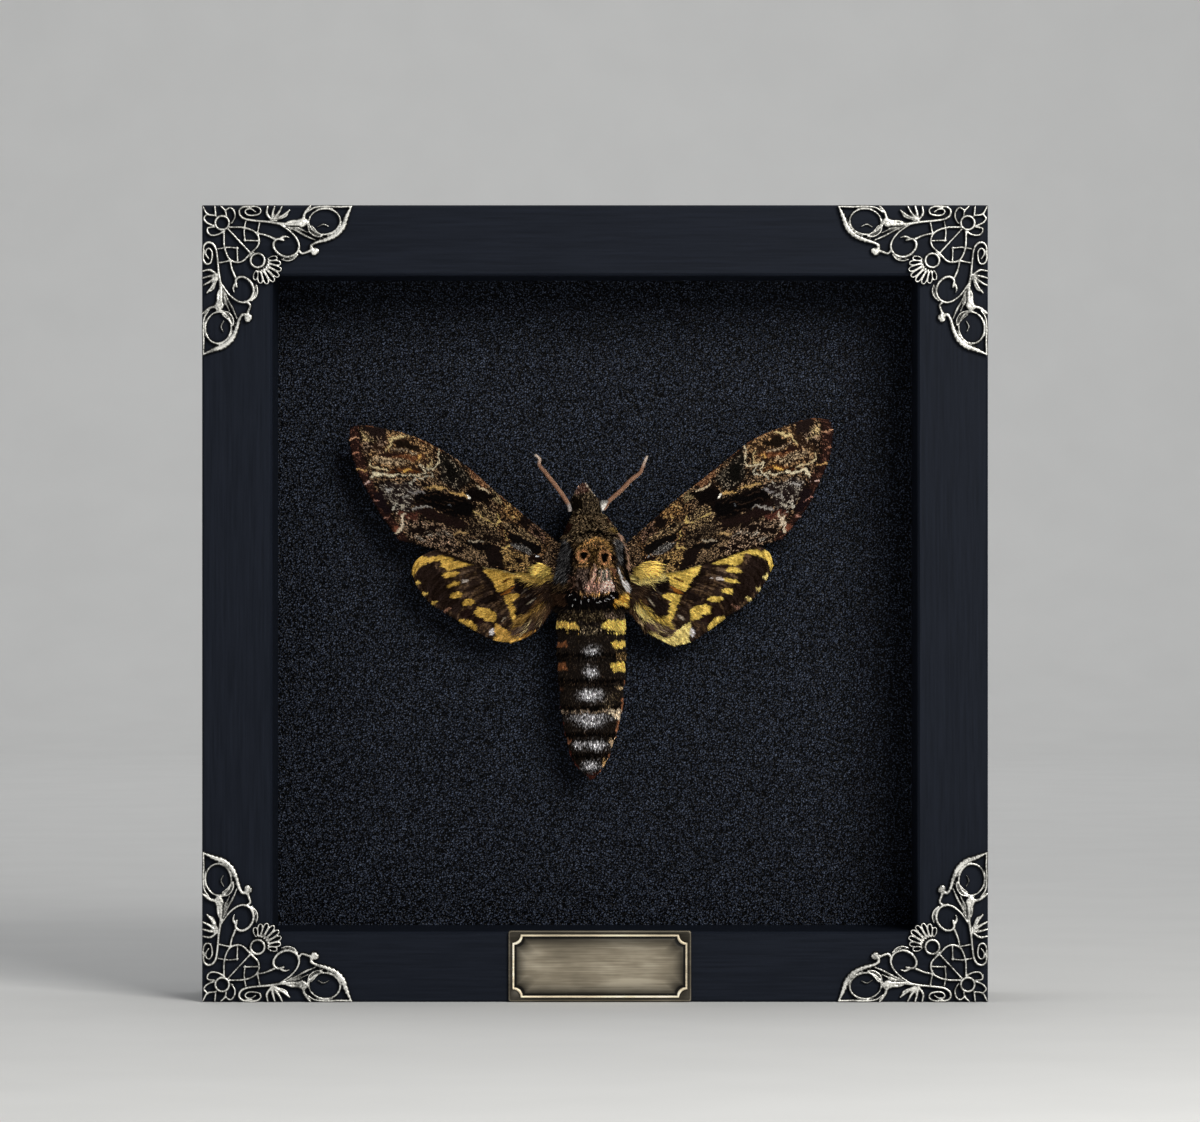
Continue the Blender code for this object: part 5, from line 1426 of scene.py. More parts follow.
def make_coats(material):
    thorax, head, abdomen = (20.4, 0.4), (27.2, 20.2), (0.2, -40.4)
    fur, scales = "thorax_fur", "abdomen_scales"
    # piece, slot, heights, side, spacing, length, width, lift, stray, speckle, upwards
    rows = (
        ("coat_thorax_front", fur, thorax, -1.0, 0.165, 0.5, 0.13, 0.74, 0.4, 0.2, False),
        ("coat_thorax_rear", fur, thorax, 1.0, 0.3, 1.6, 0.24, 0.85, 0.3, 0.3, False),
        ("coat_head_front", fur, head, -1.0, 0.15, 0.55, 0.12, 0.4, 0.35, 0.2, True),
        ("coat_head_rear", fur, head, 1.0, 0.22, 0.9, 0.16, 0.45, 0.35, 0.3, True),
        ("coat_abdomen_front", scales, abdomen, -1.0, 0.24, 0.75, 0.19, 0.36, 0.2, 0.2, False),
        ("coat_abdomen_rear", scales, abdomen, 1.0, 0.38, 0.9, 0.28, 0.36, 0.2, 0.2, False),
    )
    for seed, row in enumerate(rows, 501):
        body_coat(*row, material, seed)
    make_segment_fringes(material)
    make_waist_fringe(material)
    make_collar_glints(material)
    make_side_hair(material)
    make_brow_tuft(material)


def make_segment_fringes(material):
    """Denser rows of longer scales at the rear edge of each ring of the abdomen."""
    random = np.random.RandomState(511)
    angles, heights = [], []
    for end in SEGMENT_ENDS[:-1]:
        half = np.interp(-end, BODY[0], BODY[2])
        count = int(2.0 * math.pi * half / 0.13)
        angles.append(random.rand(count) * 2.0 * math.pi)
        heights.append(-end + random.uniform(0.0, 0.35, count))
    angle, z = np.concatenate(angles), np.concatenate(heights)
    count = len(angle)
    root = skin_at(angle, z)
    normal, down = skin_frame(angle, np.minimum(z + 0.6, 0.0))
    way = astray(random, normal, down, 0.15)
    shade = body_paint_at(root + (0.0, 0.0, 0.25), random) * uneven(random, count, 0.2)
    sizes = random.uniform(0.6, 1.0, count)
    lift = random.uniform(0.1, 0.3, count)
    name, slot = "coat_segment_fringes", "abdomen_scales"
    body_hair(name, slot, angle, z, root, way, normal, sizes, 0.16, 0.06, lift, shade, material)


def make_waist_fringe(material):
    """Long glossy dark hair that ends the thorax, hanging over the first ring of the abdomen."""
    random = np.random.RandomState(512)
    count = 2600
    angle = -math.pi * (0.5 + random.uniform(-0.42, 0.42, count))
    z = random.uniform(0.0, 3.0, count)
    root = skin_at(angle, z)
    normal, down = skin_frame(angle, z)
    way = astray(random, normal, down, 0.2)
    sizes = random.uniform(1.2, 2.4, count)
    shade = body_paint_at(root + way * sizes[:, None] * 0.55, random) * uneven(random, count, 0.3)
    lift = random.uniform(0.3, 0.75, count)
    body_hair("coat_waist_fringe", "thorax_fur", angle, z, root, way, normal, sizes, 0.2, 0.08, lift, shade,
              material)


def make_collar_glints(material):
    """Short white tips scattered over the dark hair at the end of the thorax."""
    random = np.random.RandomState(515)
    places = (
        (5.6, 2.3), (2.0, 0.5), (2.9, 0.6), (3.5, 1.0), (-0.6, 0.8), (-2.2, 0.2), (-4.5, 1.9),
        (-1.6, 1.5), (4.4, 1.7), (0.7, 1.1), (-3.4, 0.9), (1.4, 0.2), (5.0, 1.2), (-3.9, -0.4),
    )
    tips = 5
    x, z = (np.repeat(places, tips, axis=0) + random.normal(0.0, 0.16, (tips * len(places), 2))).T
    count = len(x)
    shift, half = np.interp(z, BODY[0], BODY[1]), np.interp(z, BODY[0], BODY[2])
    angle = -np.arccos(np.clip((x - shift) / (half - THORAX_COAT), -1.0, 1.0))
    root = skin_at(angle, z, 0.5)
    normal, down = skin_frame(angle, z)
    way = astray(random, normal, down, 0.9)
    shade = random.uniform(0.35, 1.0, count)[:, None] * ink(262, 258, 262)
    sizes = random.uniform(0.22, 0.42, count)
    lift = random.uniform(0.15, 0.3, count)
    name, slot = "coat_collar_glints", "thorax_fur"
    body_hair(name, slot, angle, z, root, way, normal, sizes, 0.13, 0.05, lift, shade, material, SOFT_ROOT_SHADE_TIP_LIGHT)


def make_side_hair(material):
    """Hair that runs out from the thorax over the wing roots on both sides."""
    random = np.random.RandomState(513)
    count = 7000
    right = random.rand(count) < 0.5
    lean = random.uniform(-0.85, 0.35, count)
    angle = np.where(right, lean, math.pi - lean)
    z = random.uniform(-1.5, 16.0, count)
    root = skin_at(angle, z)
    normal, down = skin_frame(angle, z)
    outward = np.column_stack([np.where(right, 1.0, -1.0), np.full(count, -0.1),
                               random.uniform(-0.9, 0.1, count)])
    low = smooth((8.0 - z) / 6.0)
    way = outward * (0.6 + 0.4 * low)[:, None] + (1.0 - 0.5 * low)[:, None] * down
    sizes = random.uniform(1.1, 1.9, count)
    shade = body_paint_at(root + way / np.linalg.norm(way, axis=1, keepdims=True) * 0.8, random)
    shade = shade * uneven(random, count, 0.3)
    lift = random.uniform(0.2, 0.6, count)
    body_hair("coat_wing_roots", "thorax_fur", angle, z, root, way, normal, sizes, 0.2, 0.08, lift, shade,
              material)


def make_brow_tuft(material):
    """A small white brush of hair between the head's right side and its antenna."""
    random = np.random.RandomState(514)
    count = 700
    share = random.rand(count)
    x = 2.4 - 0.5 * share + 1.9 * share * random.rand(count)
    y = random.uniform(-3.4, -2.2, count)
    root = np.column_stack([x, y, 21.2 + 2.2 * share]) + WAIST
    way = np.column_stack([random.normal(0.6, 0.2, count), np.full(count, -0.25),
                           random.normal(0.6, 0.2, count)])
    shade = random.uniform(0.6, 1.2, count)[:, None] * ink(270, 266, 258)
    shade *= (1.0 - 0.75 * smooth((share - 0.5) / 0.5))[:, None]
    sizes = random.uniform(0.4, 0.8, count)
    lift = random.uniform(0.05, 0.2, count)
    place = 0.1 + 0.8 * np.column_stack([share, random.rand(count)])
    name, shading_tones = "coat_brow_tuft", SOFT_ROOT_SHADE_TIP_LIGHT
    made = tufts(name, root, way, FORWARD, sizes, 0.12, 0.05, lift, shade, place, material, shading_tones=shading_tones)
    stands_for(made, "thorax_fur")


# Eyes, antennae


def make_eyes(material):
    """Domed compound eyes, a little flattened against the head."""
    rows, sides = 24, 40
    tilt = np.linspace(-0.5 * math.pi, 0.5 * math.pi, rows + 2)[1:-1]
    turn = np.arange(sides) * 2.0 * math.pi / sides
    tilt, turn = [grid.ravel() for grid in np.meshgrid(tilt, turn, indexing="ij")]
    reach = EYE_RADIUS * (1.0 - 0.04 * np.sin(3.0 * tilt) ** 2) * np.cos(tilt)
    dome = np.column_stack([reach * np.cos(turn), reach * np.sin(turn) * 0.98, EYE_RADIUS * np.sin(tilt)])
    poles = ((0.0, 0.0, -EYE_RADIUS), (0.0, 0.0, EYE_RADIUS))
    for name, x in EYES:
        points = np.vstack([dome, poles]) + WAIST + (x, EYE_Y, EYE_HEIGHT)
        made = mesh_piece(name + "_dome", points, tube_faces(rows, sides), material)
        stands_for(made, "moth_eye", name)


def antenna_paint(share, turn, left):
    """Pink-brown, with a painted highlight along one side, and pale at the tip. The left one is grey at its
    base.
    """
    c = Canvas(share, np.zeros(len(share)), (156, 116, 92))
    # painted highlight along one side
    c.lay(smooth((np.cos(turn + 1.9) + 0.1) / 0.5), (290, 246, 212))
    c.lay(smooth((share - 0.78) / 0.22), (238, 220, 204))
    if left:
        c.lay(smooth((0.15 - share) / 0.08), (180, 170, 164))
    return c.colour


def make_antennae(material, coat):
    """Ringed, slowly tapering clubs with short cilia."""
    sides, rows, cilia = 14, 240, 1500
    for name, path, radii, seed in (
        ("antenna_left", ANTENNA_LEFT, (0.42, 0.46, 0.48, 0.48, 0.46, 0.42, 0.36, 0.24), 71),
        ("antenna_right", ANTENNA_RIGHT, (0.42, 0.46, 0.48, 0.48, 0.44, 0.36, 0.22), 72),
    ):
        left = name == "antenna_left"
        share = np.linspace(0.0, 1.0, rows)
        middle = spline(path, share)
        way = np.gradient(middle, axis=0)
        way /= np.linalg.norm(way, axis=1, keepdims=True)
        side = np.cross(way, (0.0, 1.0, 0.0))
        side /= np.linalg.norm(side, axis=1, keepdims=True)
        up = np.cross(way, side)
        length = np.linalg.norm(np.diff(middle, axis=0), axis=1).sum()
        rings = np.abs(np.sin(share * length / 0.36 * math.pi)) ** 0.6
        radius = np.interp(share, np.linspace(0.0, 1.0, len(radii)), radii) * (0.86 + 0.12 * rings)
        radius *= np.minimum(1.0, 0.35 + (1.0 - share) * 22.0)
        angle = np.arange(sides) * 2.0 * math.pi / sides
        points = (
            middle[:, None, :]
            + radius[:, None, None] * np.cos(angle)[None, :, None] * side[:, None, :]
            + radius[:, None, None] * np.sin(angle)[None, :, None] * up[:, None, :]
        ).reshape(-1, 3)
        groove = np.repeat(0.55 + 0.45 * rings, sides)[:, None]
        paint = antenna_paint(np.repeat(share, sides), np.tile(angle, rows), left) * groove
        paint = np.vstack([paint, antenna_paint(share[[0, -1]], np.zeros(2), left)])
        points = np.vstack([points, middle[[0, -1]]]) + WAIST
        made = mesh_piece(name + "_rings", points, tube_faces(rows, sides), material, paint)
        stands_for(made, "antenna_scales", name)
        random = np.random.RandomState(seed)
        spots = random.randint(2, rows - 2, cilia)
        turn = random.rand(cilia) * 2.0 * math.pi
        normal = np.cos(turn)[:, None] * side[spots] + np.sin(turn)[:, None] * up[spots]
        root = middle[spots] + normal * radius[spots][:, None] * 0.95 + WAIST
        sizes = random.uniform(0.18, 0.34, cilia)
        shade = antenna_paint(share[spots], turn, left) * random.uniform(0.6, 1.2, cilia)[:, None]
        place = 0.02 + 0.96 * np.column_stack([turn / (2.0 * math.pi), share[spots]])
        made = tufts(
            name + "_cilia", root, way[spots] + normal * 0.25, normal,
            sizes, 0.07, 0.03, 0.05, shade, place, coat, sink=0.03,
        )
        stands_for(made, "antenna_scales")


# Metalwork


def arc(centre, radii, start, end, count, tilt=0.0):
    """Places along an ellipse, angles in degrees, the ellipse turned by tilt."""
    angle = np.radians(np.linspace(start, end, count))
    u, v = radii[0] * np.cos(angle), radii[1] * np.sin(angle)
    t = math.radians(tilt)
    return np.column_stack([centre[0] + u * math.cos(t) - v * math.sin(t),
                            centre[1] + u * math.sin(t) + v * math.cos(t)])


def ornament_half():
    """The bands on one side of an ornament's diagonal: path, half widths, height share."""
    spiral = [
        (12.2, 1.5), (11.3, 0.95), (10.2, 1.1), (9.95, 1.7), (10.6, 2.3), (11.8, 2.4),
        (13.3, 2.0), (13.5, 1.1), (12.6, 0.42), (11.0, 0.34), (9.4, 0.5), (8.6, 1.3),
        (8.8, 2.4), (9.9, 3.2), (12.2, 3.6), (15.4, 3.9), (19.0, 4.4), (22.4, 4.4),
    ]
    scroll = [
        (18.0, 4.5), (20.3, 6.1), (21.9, 8.0), (22.3, 9.8), (21.4, 11.3), (19.6, 11.9),
        (17.8, 11.3), (16.6, 9.9), (16.5, 8.6), (17.3, 7.8), (18.5, 8.0),
    ]
    cord = [(25.6, 10.6), (25.0, 9.5), (26.0, 8.7), (28.3, 8.0), (30.6, 6.9), (32.3, 5.0), (33.1, 2.9),
            (34.1, 0.6)]
    leaves = (((15.1, 0.4), (14.9, 1.9)), ((16.7, 0.35), (16.3, 1.8)), ((18.3, 0.5), (17.6, 1.8)),
              ((19.9, 1.4), (18.6, 2.4)))
    oval_loop = arc((28.1, 3.8), (3.6, 2.95), 205, -140, 36, -7.0)
    return [
        # bars of the lattice
        (((6.2, 5.1), (9.6, 5.2), (12.2, 6.2), (13.1, 7.7), (12.9, 9.3), (11.3, 11.0)), (0.27,), 0.85),
        (((10.0, 4.1), (9.7, 6.1), (9.9, 8.2)), (0.22,), 0.75),
        (((13.2, 4.3), (12.8, 6.3)), (0.24,), 0.8),
        (((9.8, 8.1), (12.8, 8.2)), (0.22,), 0.75),
        (((12.7, 6.5), (14.6, 6.9), (16.8, 7.8)), (0.24, 0.28, 0.34), 0.85),
        # main bar with its oval spiral
        (spiral, (0.2, 0.24, 0.26, 0.28, 0.3, 0.32, 0.3, 0.3, 0.36, 0.42, 0.45), 1.0),
        (((18.6, 4.4), (20.5, 3.7), (22.6, 3.7)), (0.2, 0.28, 0.3), 0.9),
        # leaf fan above the bar
        *[(((16.0, 3.6), bend, tip), (0.2, 0.36, 0.26), 0.9) for tip, bend in leaves],
        (((19.9, 1.4), (19.3, 2.6), (17.0, 3.5)), (0.2, 0.22, 0.2), 0.8),
        # large scroll
        (scroll, (0.24, 0.26, 0.28, 0.3, 0.34, 0.36, 0.34, 0.34, 0.3), 1.0),
        (((18.4, 12.5), (19.6, 12.8), (21.0, 12.4), (21.9, 11.5)), (0.16, 0.24, 0.24, 0.16), 0.9),
        (((17.9, 7.6), (19.0, 7.2), (19.9, 7.4)), (0.2, 0.34, 0.15), 0.9),
        (((22.2, 10.2), (22.9, 11.1), (24.3, 10.7), (25.3, 10.3)), (0.3, 0.32, 0.34, 0.4), 0.9),
        # twin leaf lines
        (((19.0, 4.8), (21.4, 5.8), (24.0, 7.2), (26.2, 8.1)), (0.14, 0.26, 0.3, 0.16), 0.65),
        (((19.8, 4.8), (22.4, 5.5), (24.4, 6.4)), (0.12, 0.24, 0.12), 0.6),
        # knob, stem and oval loop
        (arc((22.9, 4.1), (0.5, 0.5), 0, 315, 8), (0.6,), 1.15),
        (((23.2, 3.4), (23.6, 1.9), (24.7, 0.4)), (0.4, 0.36, 0.3), 0.95),
        (oval_loop, (0.24, 0.24, 0.26, 0.28, 0.28, 0.26, 0.24), 0.8),
        (((24.4, 1.5), (25.8, 0.62), (28.4, 0.34), (31.4, 0.45), (34.0, 0.35)), (0.22, 0.26, 0.28, 0.3, 0.24),
         1.0),
        (((24.3, 4.9), (24.7, 6.2), (26.2, 7.2), (27.6, 7.1), (26.4, 6.2), (25.2, 4.8)),
         (0.18, 0.22, 0.24, 0.22, 0.2, 0.16), 0.85),
        (((26.6, 5.0), (27.8, 4.4), (29.0, 4.9)), (0.12, 0.2, 0.1), 0.5),
        # heavy corded edge
        (cord, (0.44, 0.36, 0.44, 0.54, 0.6, 0.6, 0.48, 0.26), CORD_HEIGHT),
        (arc((25.7, 10.8), (0.3, 0.3), 0, 300, 6), (0.55,), 1.1),
    ]


def ornament_strokes():
    """All bands of an ornament, with places from the frame's outer corner.

    Each has its path, half widths, share of the full height, and whether it closes on itself.
    """
    flower = (4.7, 4.1)
    hub = (12.8, 12.7)
    found = [
        (arc(flower, (1.58, 1.58), 0, 345, 24), (0.42,), 1.0, True),
        (arc(hub, (1.6, 1.6), 0, 345, 24), (0.42,), 1.0, True),
        (((6.2, 5.7), (8.8, 8.5), (11.4, 11.3)), (0.3, 0.34, 0.32), 0.85, False),
    ]
    # open petals that run out to the frame's edges
    for path in (
        ((0.35, 0.5), (1.3, 2.1), (2.9, 2.4)),
        ((3.0, 0.4), (3.2, 2.2)),
        ((4.5, 0.4), (5.4, 1.3), (5.6, 2.3)),
        ((5.4, 1.3), (6.5, 0.6), (7.4, 1.4), (7.6, 2.8), (7.0, 4.0)),
        ((1.3, 2.1), (0.5, 3.0), (1.1, 4.0), (2.6, 4.7)),
        ((2.6, 5.1), (1.4, 5.3), (1.3, 6.1), (2.1, 6.9), (3.6, 6.8), (5.0, 6.1)),
    ):
        found.append((path, (0.3, 0.36, 0.32), 0.85, False))
    # shell of narrow doubled fingers below the hub
    fingers = 8
    for k in np.arange(fingers) - (fingers - 1) / 2.0:
        angle = math.radians(45.0 + 15.0 * k)
        way = np.array((math.cos(angle), math.sin(angle)))
        side = np.array((-way[1], way[0]))
        start, end = np.array(hub) + 2.4 * way, np.array(hub) + (6.1 - 0.13 * k**2) * way
        path = [
            start - 0.12 * side,
            end - 0.5 * side - 1.1 * way,
            end - 0.3 * side - 0.1 * way,
            end + 0.3 * side - 0.1 * way,
            end + 0.5 * side - 1.1 * way,
            start + 0.12 * side,
        ]
        found.append((path, (0.14, 0.23, 0.28, 0.28, 0.23, 0.14), 0.95, False))
    half = ornament_half()
    for flip in (False, True):
        for path, widths, height in half:
            path = np.asarray(path, float)
            found.append((path[:, ::-1] if flip else path, BAND_SHARE * np.array(widths), height, False))
    return found


def rounded_band(path, widths, height, closed, twist=0.0):
    """A half-round raised band along a path, its open ends rounded, as one ring of points after another."""
    path = np.asarray(path, float)
    if closed:
        places = path
        share = np.linspace(0.0, 1.0, len(path))
    else:
        length = np.linalg.norm(np.diff(path, axis=0), axis=1).sum()
        share = np.linspace(0.0, 1.0, max(6, int(length / 0.3)))
        places = spline(path, share)
    width = np.interp(share, np.linspace(0.0, 1.0, len(widths)), widths)
    if closed:
        way = np.roll(places, -1, axis=0) - np.roll(places, 1, axis=0)
    else:
        way = np.gradient(places, axis=0)
    way /= np.linalg.norm(way, axis=1, keepdims=True)
    scale = np.ones(len(places))
    if not closed:
        for reach in (0.55, 0.9):
            places = np.vstack([places[0] - way[0] * width[0] * reach, places,
                                places[-1] + way[-1] * width[-1] * reach])
        ends = (0.42, 0.83)
        places[0], places[1] = places[1].copy(), places[0].copy()
        places[-1], places[-2] = places[-2].copy(), places[-1].copy()
        way = np.vstack([way[0], way[0], way, way[-1], way[-1]])
        width = np.concatenate([[width[0]] * 2, width, [width[-1]] * 2])
        scale = np.concatenate([ends, np.ones(len(share)), ends[::-1]])
    across = np.column_stack([-way[:, 1], way[:, 0]])
    turn = np.linspace(0.0, math.pi, 9)
    wave = 1.0 + twist * np.sin(np.arange(len(places)) * 1.9)
    points = []
    for angle in turn:
        flat = places + across * (width * scale * wave * math.cos(angle))[:, None]
        crest = height * ORNAMENT_THICKNESS * (0.28 + 0.72 * math.sin(angle) ** 0.8) * (0.5 + 0.5 * scale)
        depth = (METAL_BACK_Y - crest) * np.ones(len(places))
        points.append(np.column_stack([flat[:, 0], depth, flat[:, 1]]))
    sides = (points[-1], points[0])
    base = [np.column_stack([p[:, 0], np.full(len(places), METAL_BACK_Y), p[:, 2]]) for p in sides]
    return np.stack(points + base, axis=1)


def in_corner(u, v, side, rise):
    """Places across and up the frame, from distances inward from one of its outer corners."""
    return side * (FRAME_WIDTH / 2.0 - u), FRAME_HEIGHT - v if rise > 0.0 else v


def make_ornaments(metal):
    """One ornament is fused, smoothed and thinned out, then mirrored into the four corners."""
    all_points, all_quads, all_caps, first = [], [], [], 0
    for path, widths, height, closed in ornament_strokes():
        twist = CORD_TWIST if height == CORD_HEIGHT else 0.0
        ring = rounded_band(path, widths, min(height, 1.0), closed, twist)
        rows, columns = ring.shape[:2]
        points = ring.reshape(-1, 3)
        if closed:
            k = np.arange(columns)
            after = (k + 1) % columns
            last = (rows - 1) * columns
            join = np.stack([last + k, last + after, after, k], axis=-1)
            quads = [grid_faces(rows, columns, closed=True), join]
        else:
            quads, *caps = tube_faces(rows, columns)
            quads = [quads]
            all_caps += [cap + first for cap in caps]
            points = np.vstack([points, ring[0].mean(axis=0), ring[-1].mean(axis=0)])
        all_points.append(points)
        all_quads += [group + first for group in quads]
        first += len(points)
    faces = [np.vstack(all_quads), np.vstack(all_caps)]
    cast = mesh_piece("ornament_cast", np.vstack(all_points), faces, metal)
    fuse = cast.modifiers.new("Fuse", "REMESH")
    fuse.mode = "VOXEL"
    fuse.voxel_size = 0.11 * MM
    soften = cast.modifiers.new("Soften", "SMOOTH")
    soften.factor = 0.5
    soften.iterations = 1
    thin = cast.modifiers.new("Thin", "DECIMATE")
    thin.ratio = 0.28
    thin.use_collapse_triangulate = True
    bpy.context.view_layer.update()
    ready = cast.evaluated_get(bpy.context.evaluated_depsgraph_get())
    mesh = bpy.data.meshes.new_from_object(ready)
    spots = np.zeros(len(mesh.vertices) * 3, np.float32)
    mesh.vertices.foreach_get("co", spots)
    u, y, v = (spots.reshape(-1, 3) / MM).T
    corners = np.zeros(len(mesh.loops), np.int32)
    mesh.loops.foreach_get("vertex_index", corners)
    triangles = corners.reshape(-1, 3)
    bpy.data.objects.remove(cast, do_unlink=True)
    bpy.data.meshes.remove(mesh)
    for corner, side, rise in CORNERS:
        x, z = in_corner(np.maximum(u, 0.02), np.maximum(v, 0.02), side, rise)
        placed = np.column_stack([x, np.clip(y, METAL_BACK_Y - ORNAMENT_THICKNESS, METAL_BACK_Y), z])
        flipped = side * rise > 0.0
        made = mesh_piece("filigree_" + corner, placed, [triangles[:, ::-1] if flipped else triangles], metal)
        stands_for(made, "antiqued_silver", "corner_ornament_" + corner)


def plaque_ring(inset, y, radius, notched):
    """An outline drawn in from the plaque's edge, its corners rounded or cut by round notches."""
    left, right = PLAQUE_LEFT + inset, PLAQUE_RIGHT - inset
    low, high = PLAQUE_BOTTOM + inset, PLAQUE_TOP - inset
    steps = 13
    ring = []
    for x, z, start in ((left, low, 90.0), (right, low, 180.0), (right, high, 270.0), (left, high, 360.0)):
        inward_x = radius if x == left else -radius
        inward_z = radius if z == low else -radius
        for k in range(steps):
            turn = -90.0 * k / (steps - 1)
            angle = math.radians(start + turn if notched else start + 90.0 - turn)
            centre = (x, z) if notched else (x + inward_x, z + inward_z)
            ring.append((centre[0] + radius * math.cos(angle), y, centre[1] + radius * math.sin(angle)))
    return ring


def make_plaque(brass):
    """A bare plate with eased edges and a raised border with notched corners."""
    face = METAL_BACK_Y - PLAQUE_THICKNESS
    crest = face - 0.35
    # the crest's pale tone, brighter than white: its pale metal with a painted highlight
    pale = (5.4, 6.1, 7.6)
    # inset, place across the depth, tone; the tones paint a highlight on the bevel and on the border's crest,
    # patina and painted shadow in the black lines beside the border, and a field that darkens towards the
    # border
    edge = (
        (0.0, METAL_BACK_Y, 0.2),
        (0.0, face + 0.22, 0.5),
        (0.06, face + 0.08, 0.9),
        (0.2, face, 0.7),
        (0.32, face, 0.2),
    )
    border = (
        (0.72, face, 0.14),
        (0.76, face + 0.05, 0.03),
        (0.84, face + 0.05, 0.03),
        (0.88, face - 0.24, pale),
        (0.96, crest, pale),
        (1.2, crest, pale),
        (1.3, face - 0.24, pale),
        (1.36, face + 0.06, 0.02),
        (1.78, face + 0.06, 0.02),
        (1.9, face, 0.16),
        (2.4, face, 0.34),
        (3.2, face, 0.66),
        (4.2, face, 1.0),
        (5.4, face, 1.16),
    )
    rings = [plaque_ring(inset, y, 0.5, False) for inset, y, _ in edge]
    rings += [plaque_ring(inset, y, 1.9, True) for inset, y, _ in border]
    shading_tones = [np.broadcast_to(row[2], 3) for row in edge + border]
    columns = len(rings[0])
    x, z = (PLAQUE_LEFT + PLAQUE_RIGHT) / 2, (PLAQUE_BOTTOM + PLAQUE_TOP) / 2
    points = np.vstack(rings + [(x, METAL_BACK_Y, z), (x, face, z)])
    paint = np.vstack([np.repeat(shading_tones, columns, axis=0), shading_tones[0], shading_tones[-1]])
    made = mesh_piece("blank_plaque", points, tube_faces(len(rings), columns), brass, paint)
    made.data.set_sharp_from_angle(angle=SHARP_ANGLE)
    stands_for(made, "antiqued_brass", "plaque")


# Frame finishes and studio


def dress_node(name, material):
    node = nodes[name]
    if node.material_slots:
        node.material_slots[0].material = material
    else:
        node.data.materials.append(material)


def plain_material(name, colour, roughness):
    made = Surface(name, Roughness=roughness)
    grain = made.grain(40.0, 2.0)
    tone = made.ramp(grain, "Fac", ((0.3, tuple(0.97 * c for c in colour)), (0.7, colour)))
    made.colour(tone, "Color")
    return made.material


def make_studio():
    """A pale sweep under and behind the frame, soft lights and the camera."""
    half_width, near, far, radius, top = 3200.0, -2600.0, 1900.0, 500.0, 3200.0
    rows = [(near, 0.0), (far, 0.0)]
    for angle in np.radians(90.0 * np.arange(1, 13) / 12):
        rows.append((far + radius * math.sin(angle), radius - radius * math.cos(angle)))
    rows.append((far + radius, top))
    points = np.array([(x, y, z) for y, z in rows for x in (-half_width, half_width)])
    sweep = bpy.data.meshes.new("sweep")
    sweep.from_pydata((points * MM).tolist(), [], grid_faces(len(rows), 2, turned=True).tolist())
    sweep.shade_smooth()
    sweep.materials.append(plain_material("pale_paper", (0.8, 0.8, 0.79), 0.9))
    floor = bpy.data.objects.new("sweep", sweep)
    bpy.context.scene.collection.objects.link(floor)

    world = bpy.data.worlds.new("studio")
    world.use_nodes = True
    sky = world.node_tree.nodes["Background"].inputs
    sky["Color"].default_value = (0.93, 0.96, 1.0, 1.0)
    sky["Strength"].default_value = 0.14
    bpy.context.scene.world = world

    # lights: place and aim in metres, size, power and colour
    moth = (MOTH_X * MM, 0.0, MOTH_Z * MM)
    for name, place, aim, size, power, colour in (
        ("key", (0.42, -0.88, 0.54), moth, 0.45, 8.6, (1.0, 0.985, 0.95)),
        ("fill", (-0.9, -1.1, 0.4), moth, 0.9, 1.6, (0.93, 0.96, 1.0)),
        ("sweep_light", (0.0, 0.35, 1.5), (0.0, 1.1, 0.3), 1.2, 6.5, (1.0, 1.0, 1.0)),
        ("wall_light", (0.0, 1.55, 1.5), (0.0, 2.3, 0.3), 1.2, 6.5, (1.0, 1.0, 1.0)),
    ):
        light = bpy.data.lights.new(name, "AREA")
        light.size = size
        light.energy = power
        light.color = colour
        lamp = bpy.data.objects.new(name, light)
        lamp.location = place
        lamp.rotation_euler = (Vector(aim) - Vector(place)).to_track_quat("-Z", "Y").to_euler()
        bpy.context.scene.collection.objects.link(lamp)

    lens = bpy.data.cameras.new("camera")
    lens.lens = CAMERA_LENS
    lens.sensor_width = SENSOR_WIDTH
    lens.sensor_fit = "HORIZONTAL"
    lens.clip_start = 0.05
    lens.clip_end = 20.0
    camera = bpy.data.objects.new("camera", lens)
    camera.location = CAMERA_PLACE
    camera.rotation_euler = (math.radians(90.0), 0.0, 0.0)
    bpy.context.scene.collection.objects.link(camera)
    bpy.context.scene.camera = camera
    bpy.context.scene.view_settings.view_transform = "Standard"


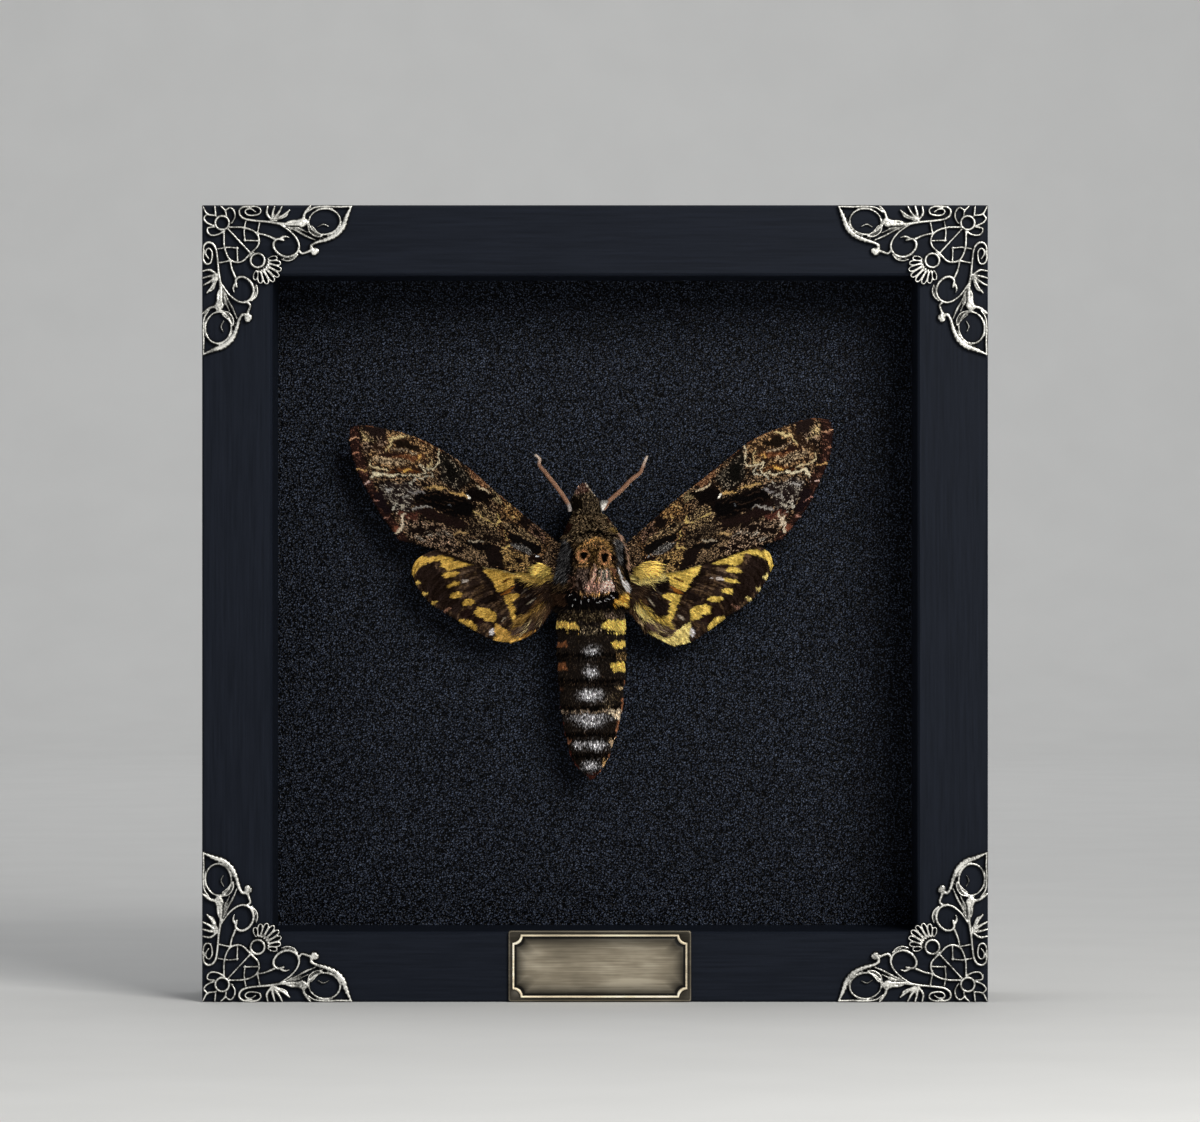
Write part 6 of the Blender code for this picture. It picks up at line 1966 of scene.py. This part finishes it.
def make_board(leatherette):
    """The covered board, its edges let into the rails."""
    step, inset = 2.0, 15.9
    left, right = -FRAME_WIDTH / 2.0 + inset, FRAME_WIDTH / 2.0 - inset
    low, high = inset, FRAME_HEIGHT - inset
    rows, columns = int((right - left) / step), int((high - low) / step)
    grids = np.meshgrid(np.linspace(left, right, rows), np.linspace(low, high, columns), indexing="ij")
    x, z = [grid.ravel() for grid in grids]
    swell = 0.08 * (noise(x / 18.0 + 9.0, z / 18.0 + 9.0, 700) - 0.5)
    front = np.column_stack([x, BOARD_FRONT_Y + 0.05 + swell, z])
    rear = np.column_stack([x, np.full(len(x), BOARD_FRONT_Y + BOARD_THICKNESS), z])
    faces = [
        grid_faces(rows, columns),
        grid_faces(rows, columns, first=len(x), turned=True),
        rim_faces(rows, columns),
    ]
    made = mesh_piece("covered_board", np.vstack([front, rear]), faces, leatherette)
    made.data.set_sharp_from_angle(angle=SHARP_ANGLE)
    stands_for(made, "dark_leatherette", "backing_board")


def make_mitres(paint):
    """Slips of painted filler that close the frame's four mitres."""
    half = 0.36
    for name, side, rise in CORNERS:
        points = []
        for y, first, last in (
            (WOOD_FRONT_Y + 0.01, 0.6, 15.5),
            (WOOD_FRONT_Y + 0.55, 0.04, 16.05),
            (-WOOD_FRONT_Y - 0.1, 0.04, 16.05),
        ):
            ring = (
                (first, first), (first + half, first), (last, last - half),
                (last, last), (last - half, last), (first, first + half),
            )
            for u, v in ring:
                x, z = in_corner(u, v, side, rise)
                points.append((x, y, z))
        turned = side * rise < 0.0
        faces = [grid_faces(3, 6, closed=True, turned=not turned)]
        for end in (np.arange(6)[::-1], 12 + np.arange(6)):
            faces.append(np.array([end[::-1] if turned else end]))
        made = mesh_piece("mitre_" + name, np.array(points), faces, paint)
        made.data.shade_flat()
        stands_for(made, "black_painted_wood")


def main():
    level = black_paint("satin_black_level", (0.04, 1.0, 1.0))
    upright = black_paint("satin_black_upright", (1.0, 1.0, 0.04))
    for name in ("frame_rail_top", "frame_rail_bottom"):
        dress_node(name, level)
    for name in ("frame_rail_left", "frame_rail_right"):
        dress_node(name, upright)
    make_mitres(level)
    make_board(pebbled_leatherette())
    dress_node("mount_pad", porous_foam())
    legs = dark_leg_scales()
    for pair in ("front", "middle", "hind"):
        for side in ("left", "right"):
            dress_node("leg_" + pair + "_" + side, legs)
    make_ornaments(antiqued_metal())
    make_plaque(brushed_plate())
    scales = painted_scales("wing_scales", 0.6, 0.0, 0.12, 0.03)
    coat = painted_scales("coat_hair", 0.5, 0.0, 0.2, 0.01)
    skin = painted_scales("skin", 0.8, 0.0, 0.2, 0.05)
    antenna = painted_scales("antenna_surface", 0.45, 0.2, 0.1, 0.02)
    make_wings(scales, coat)
    make_skin(skin)
    make_coats(coat)
    make_eyes(faceted_eye())
    make_antennae(antenna, coat)
    make_studio()


main()
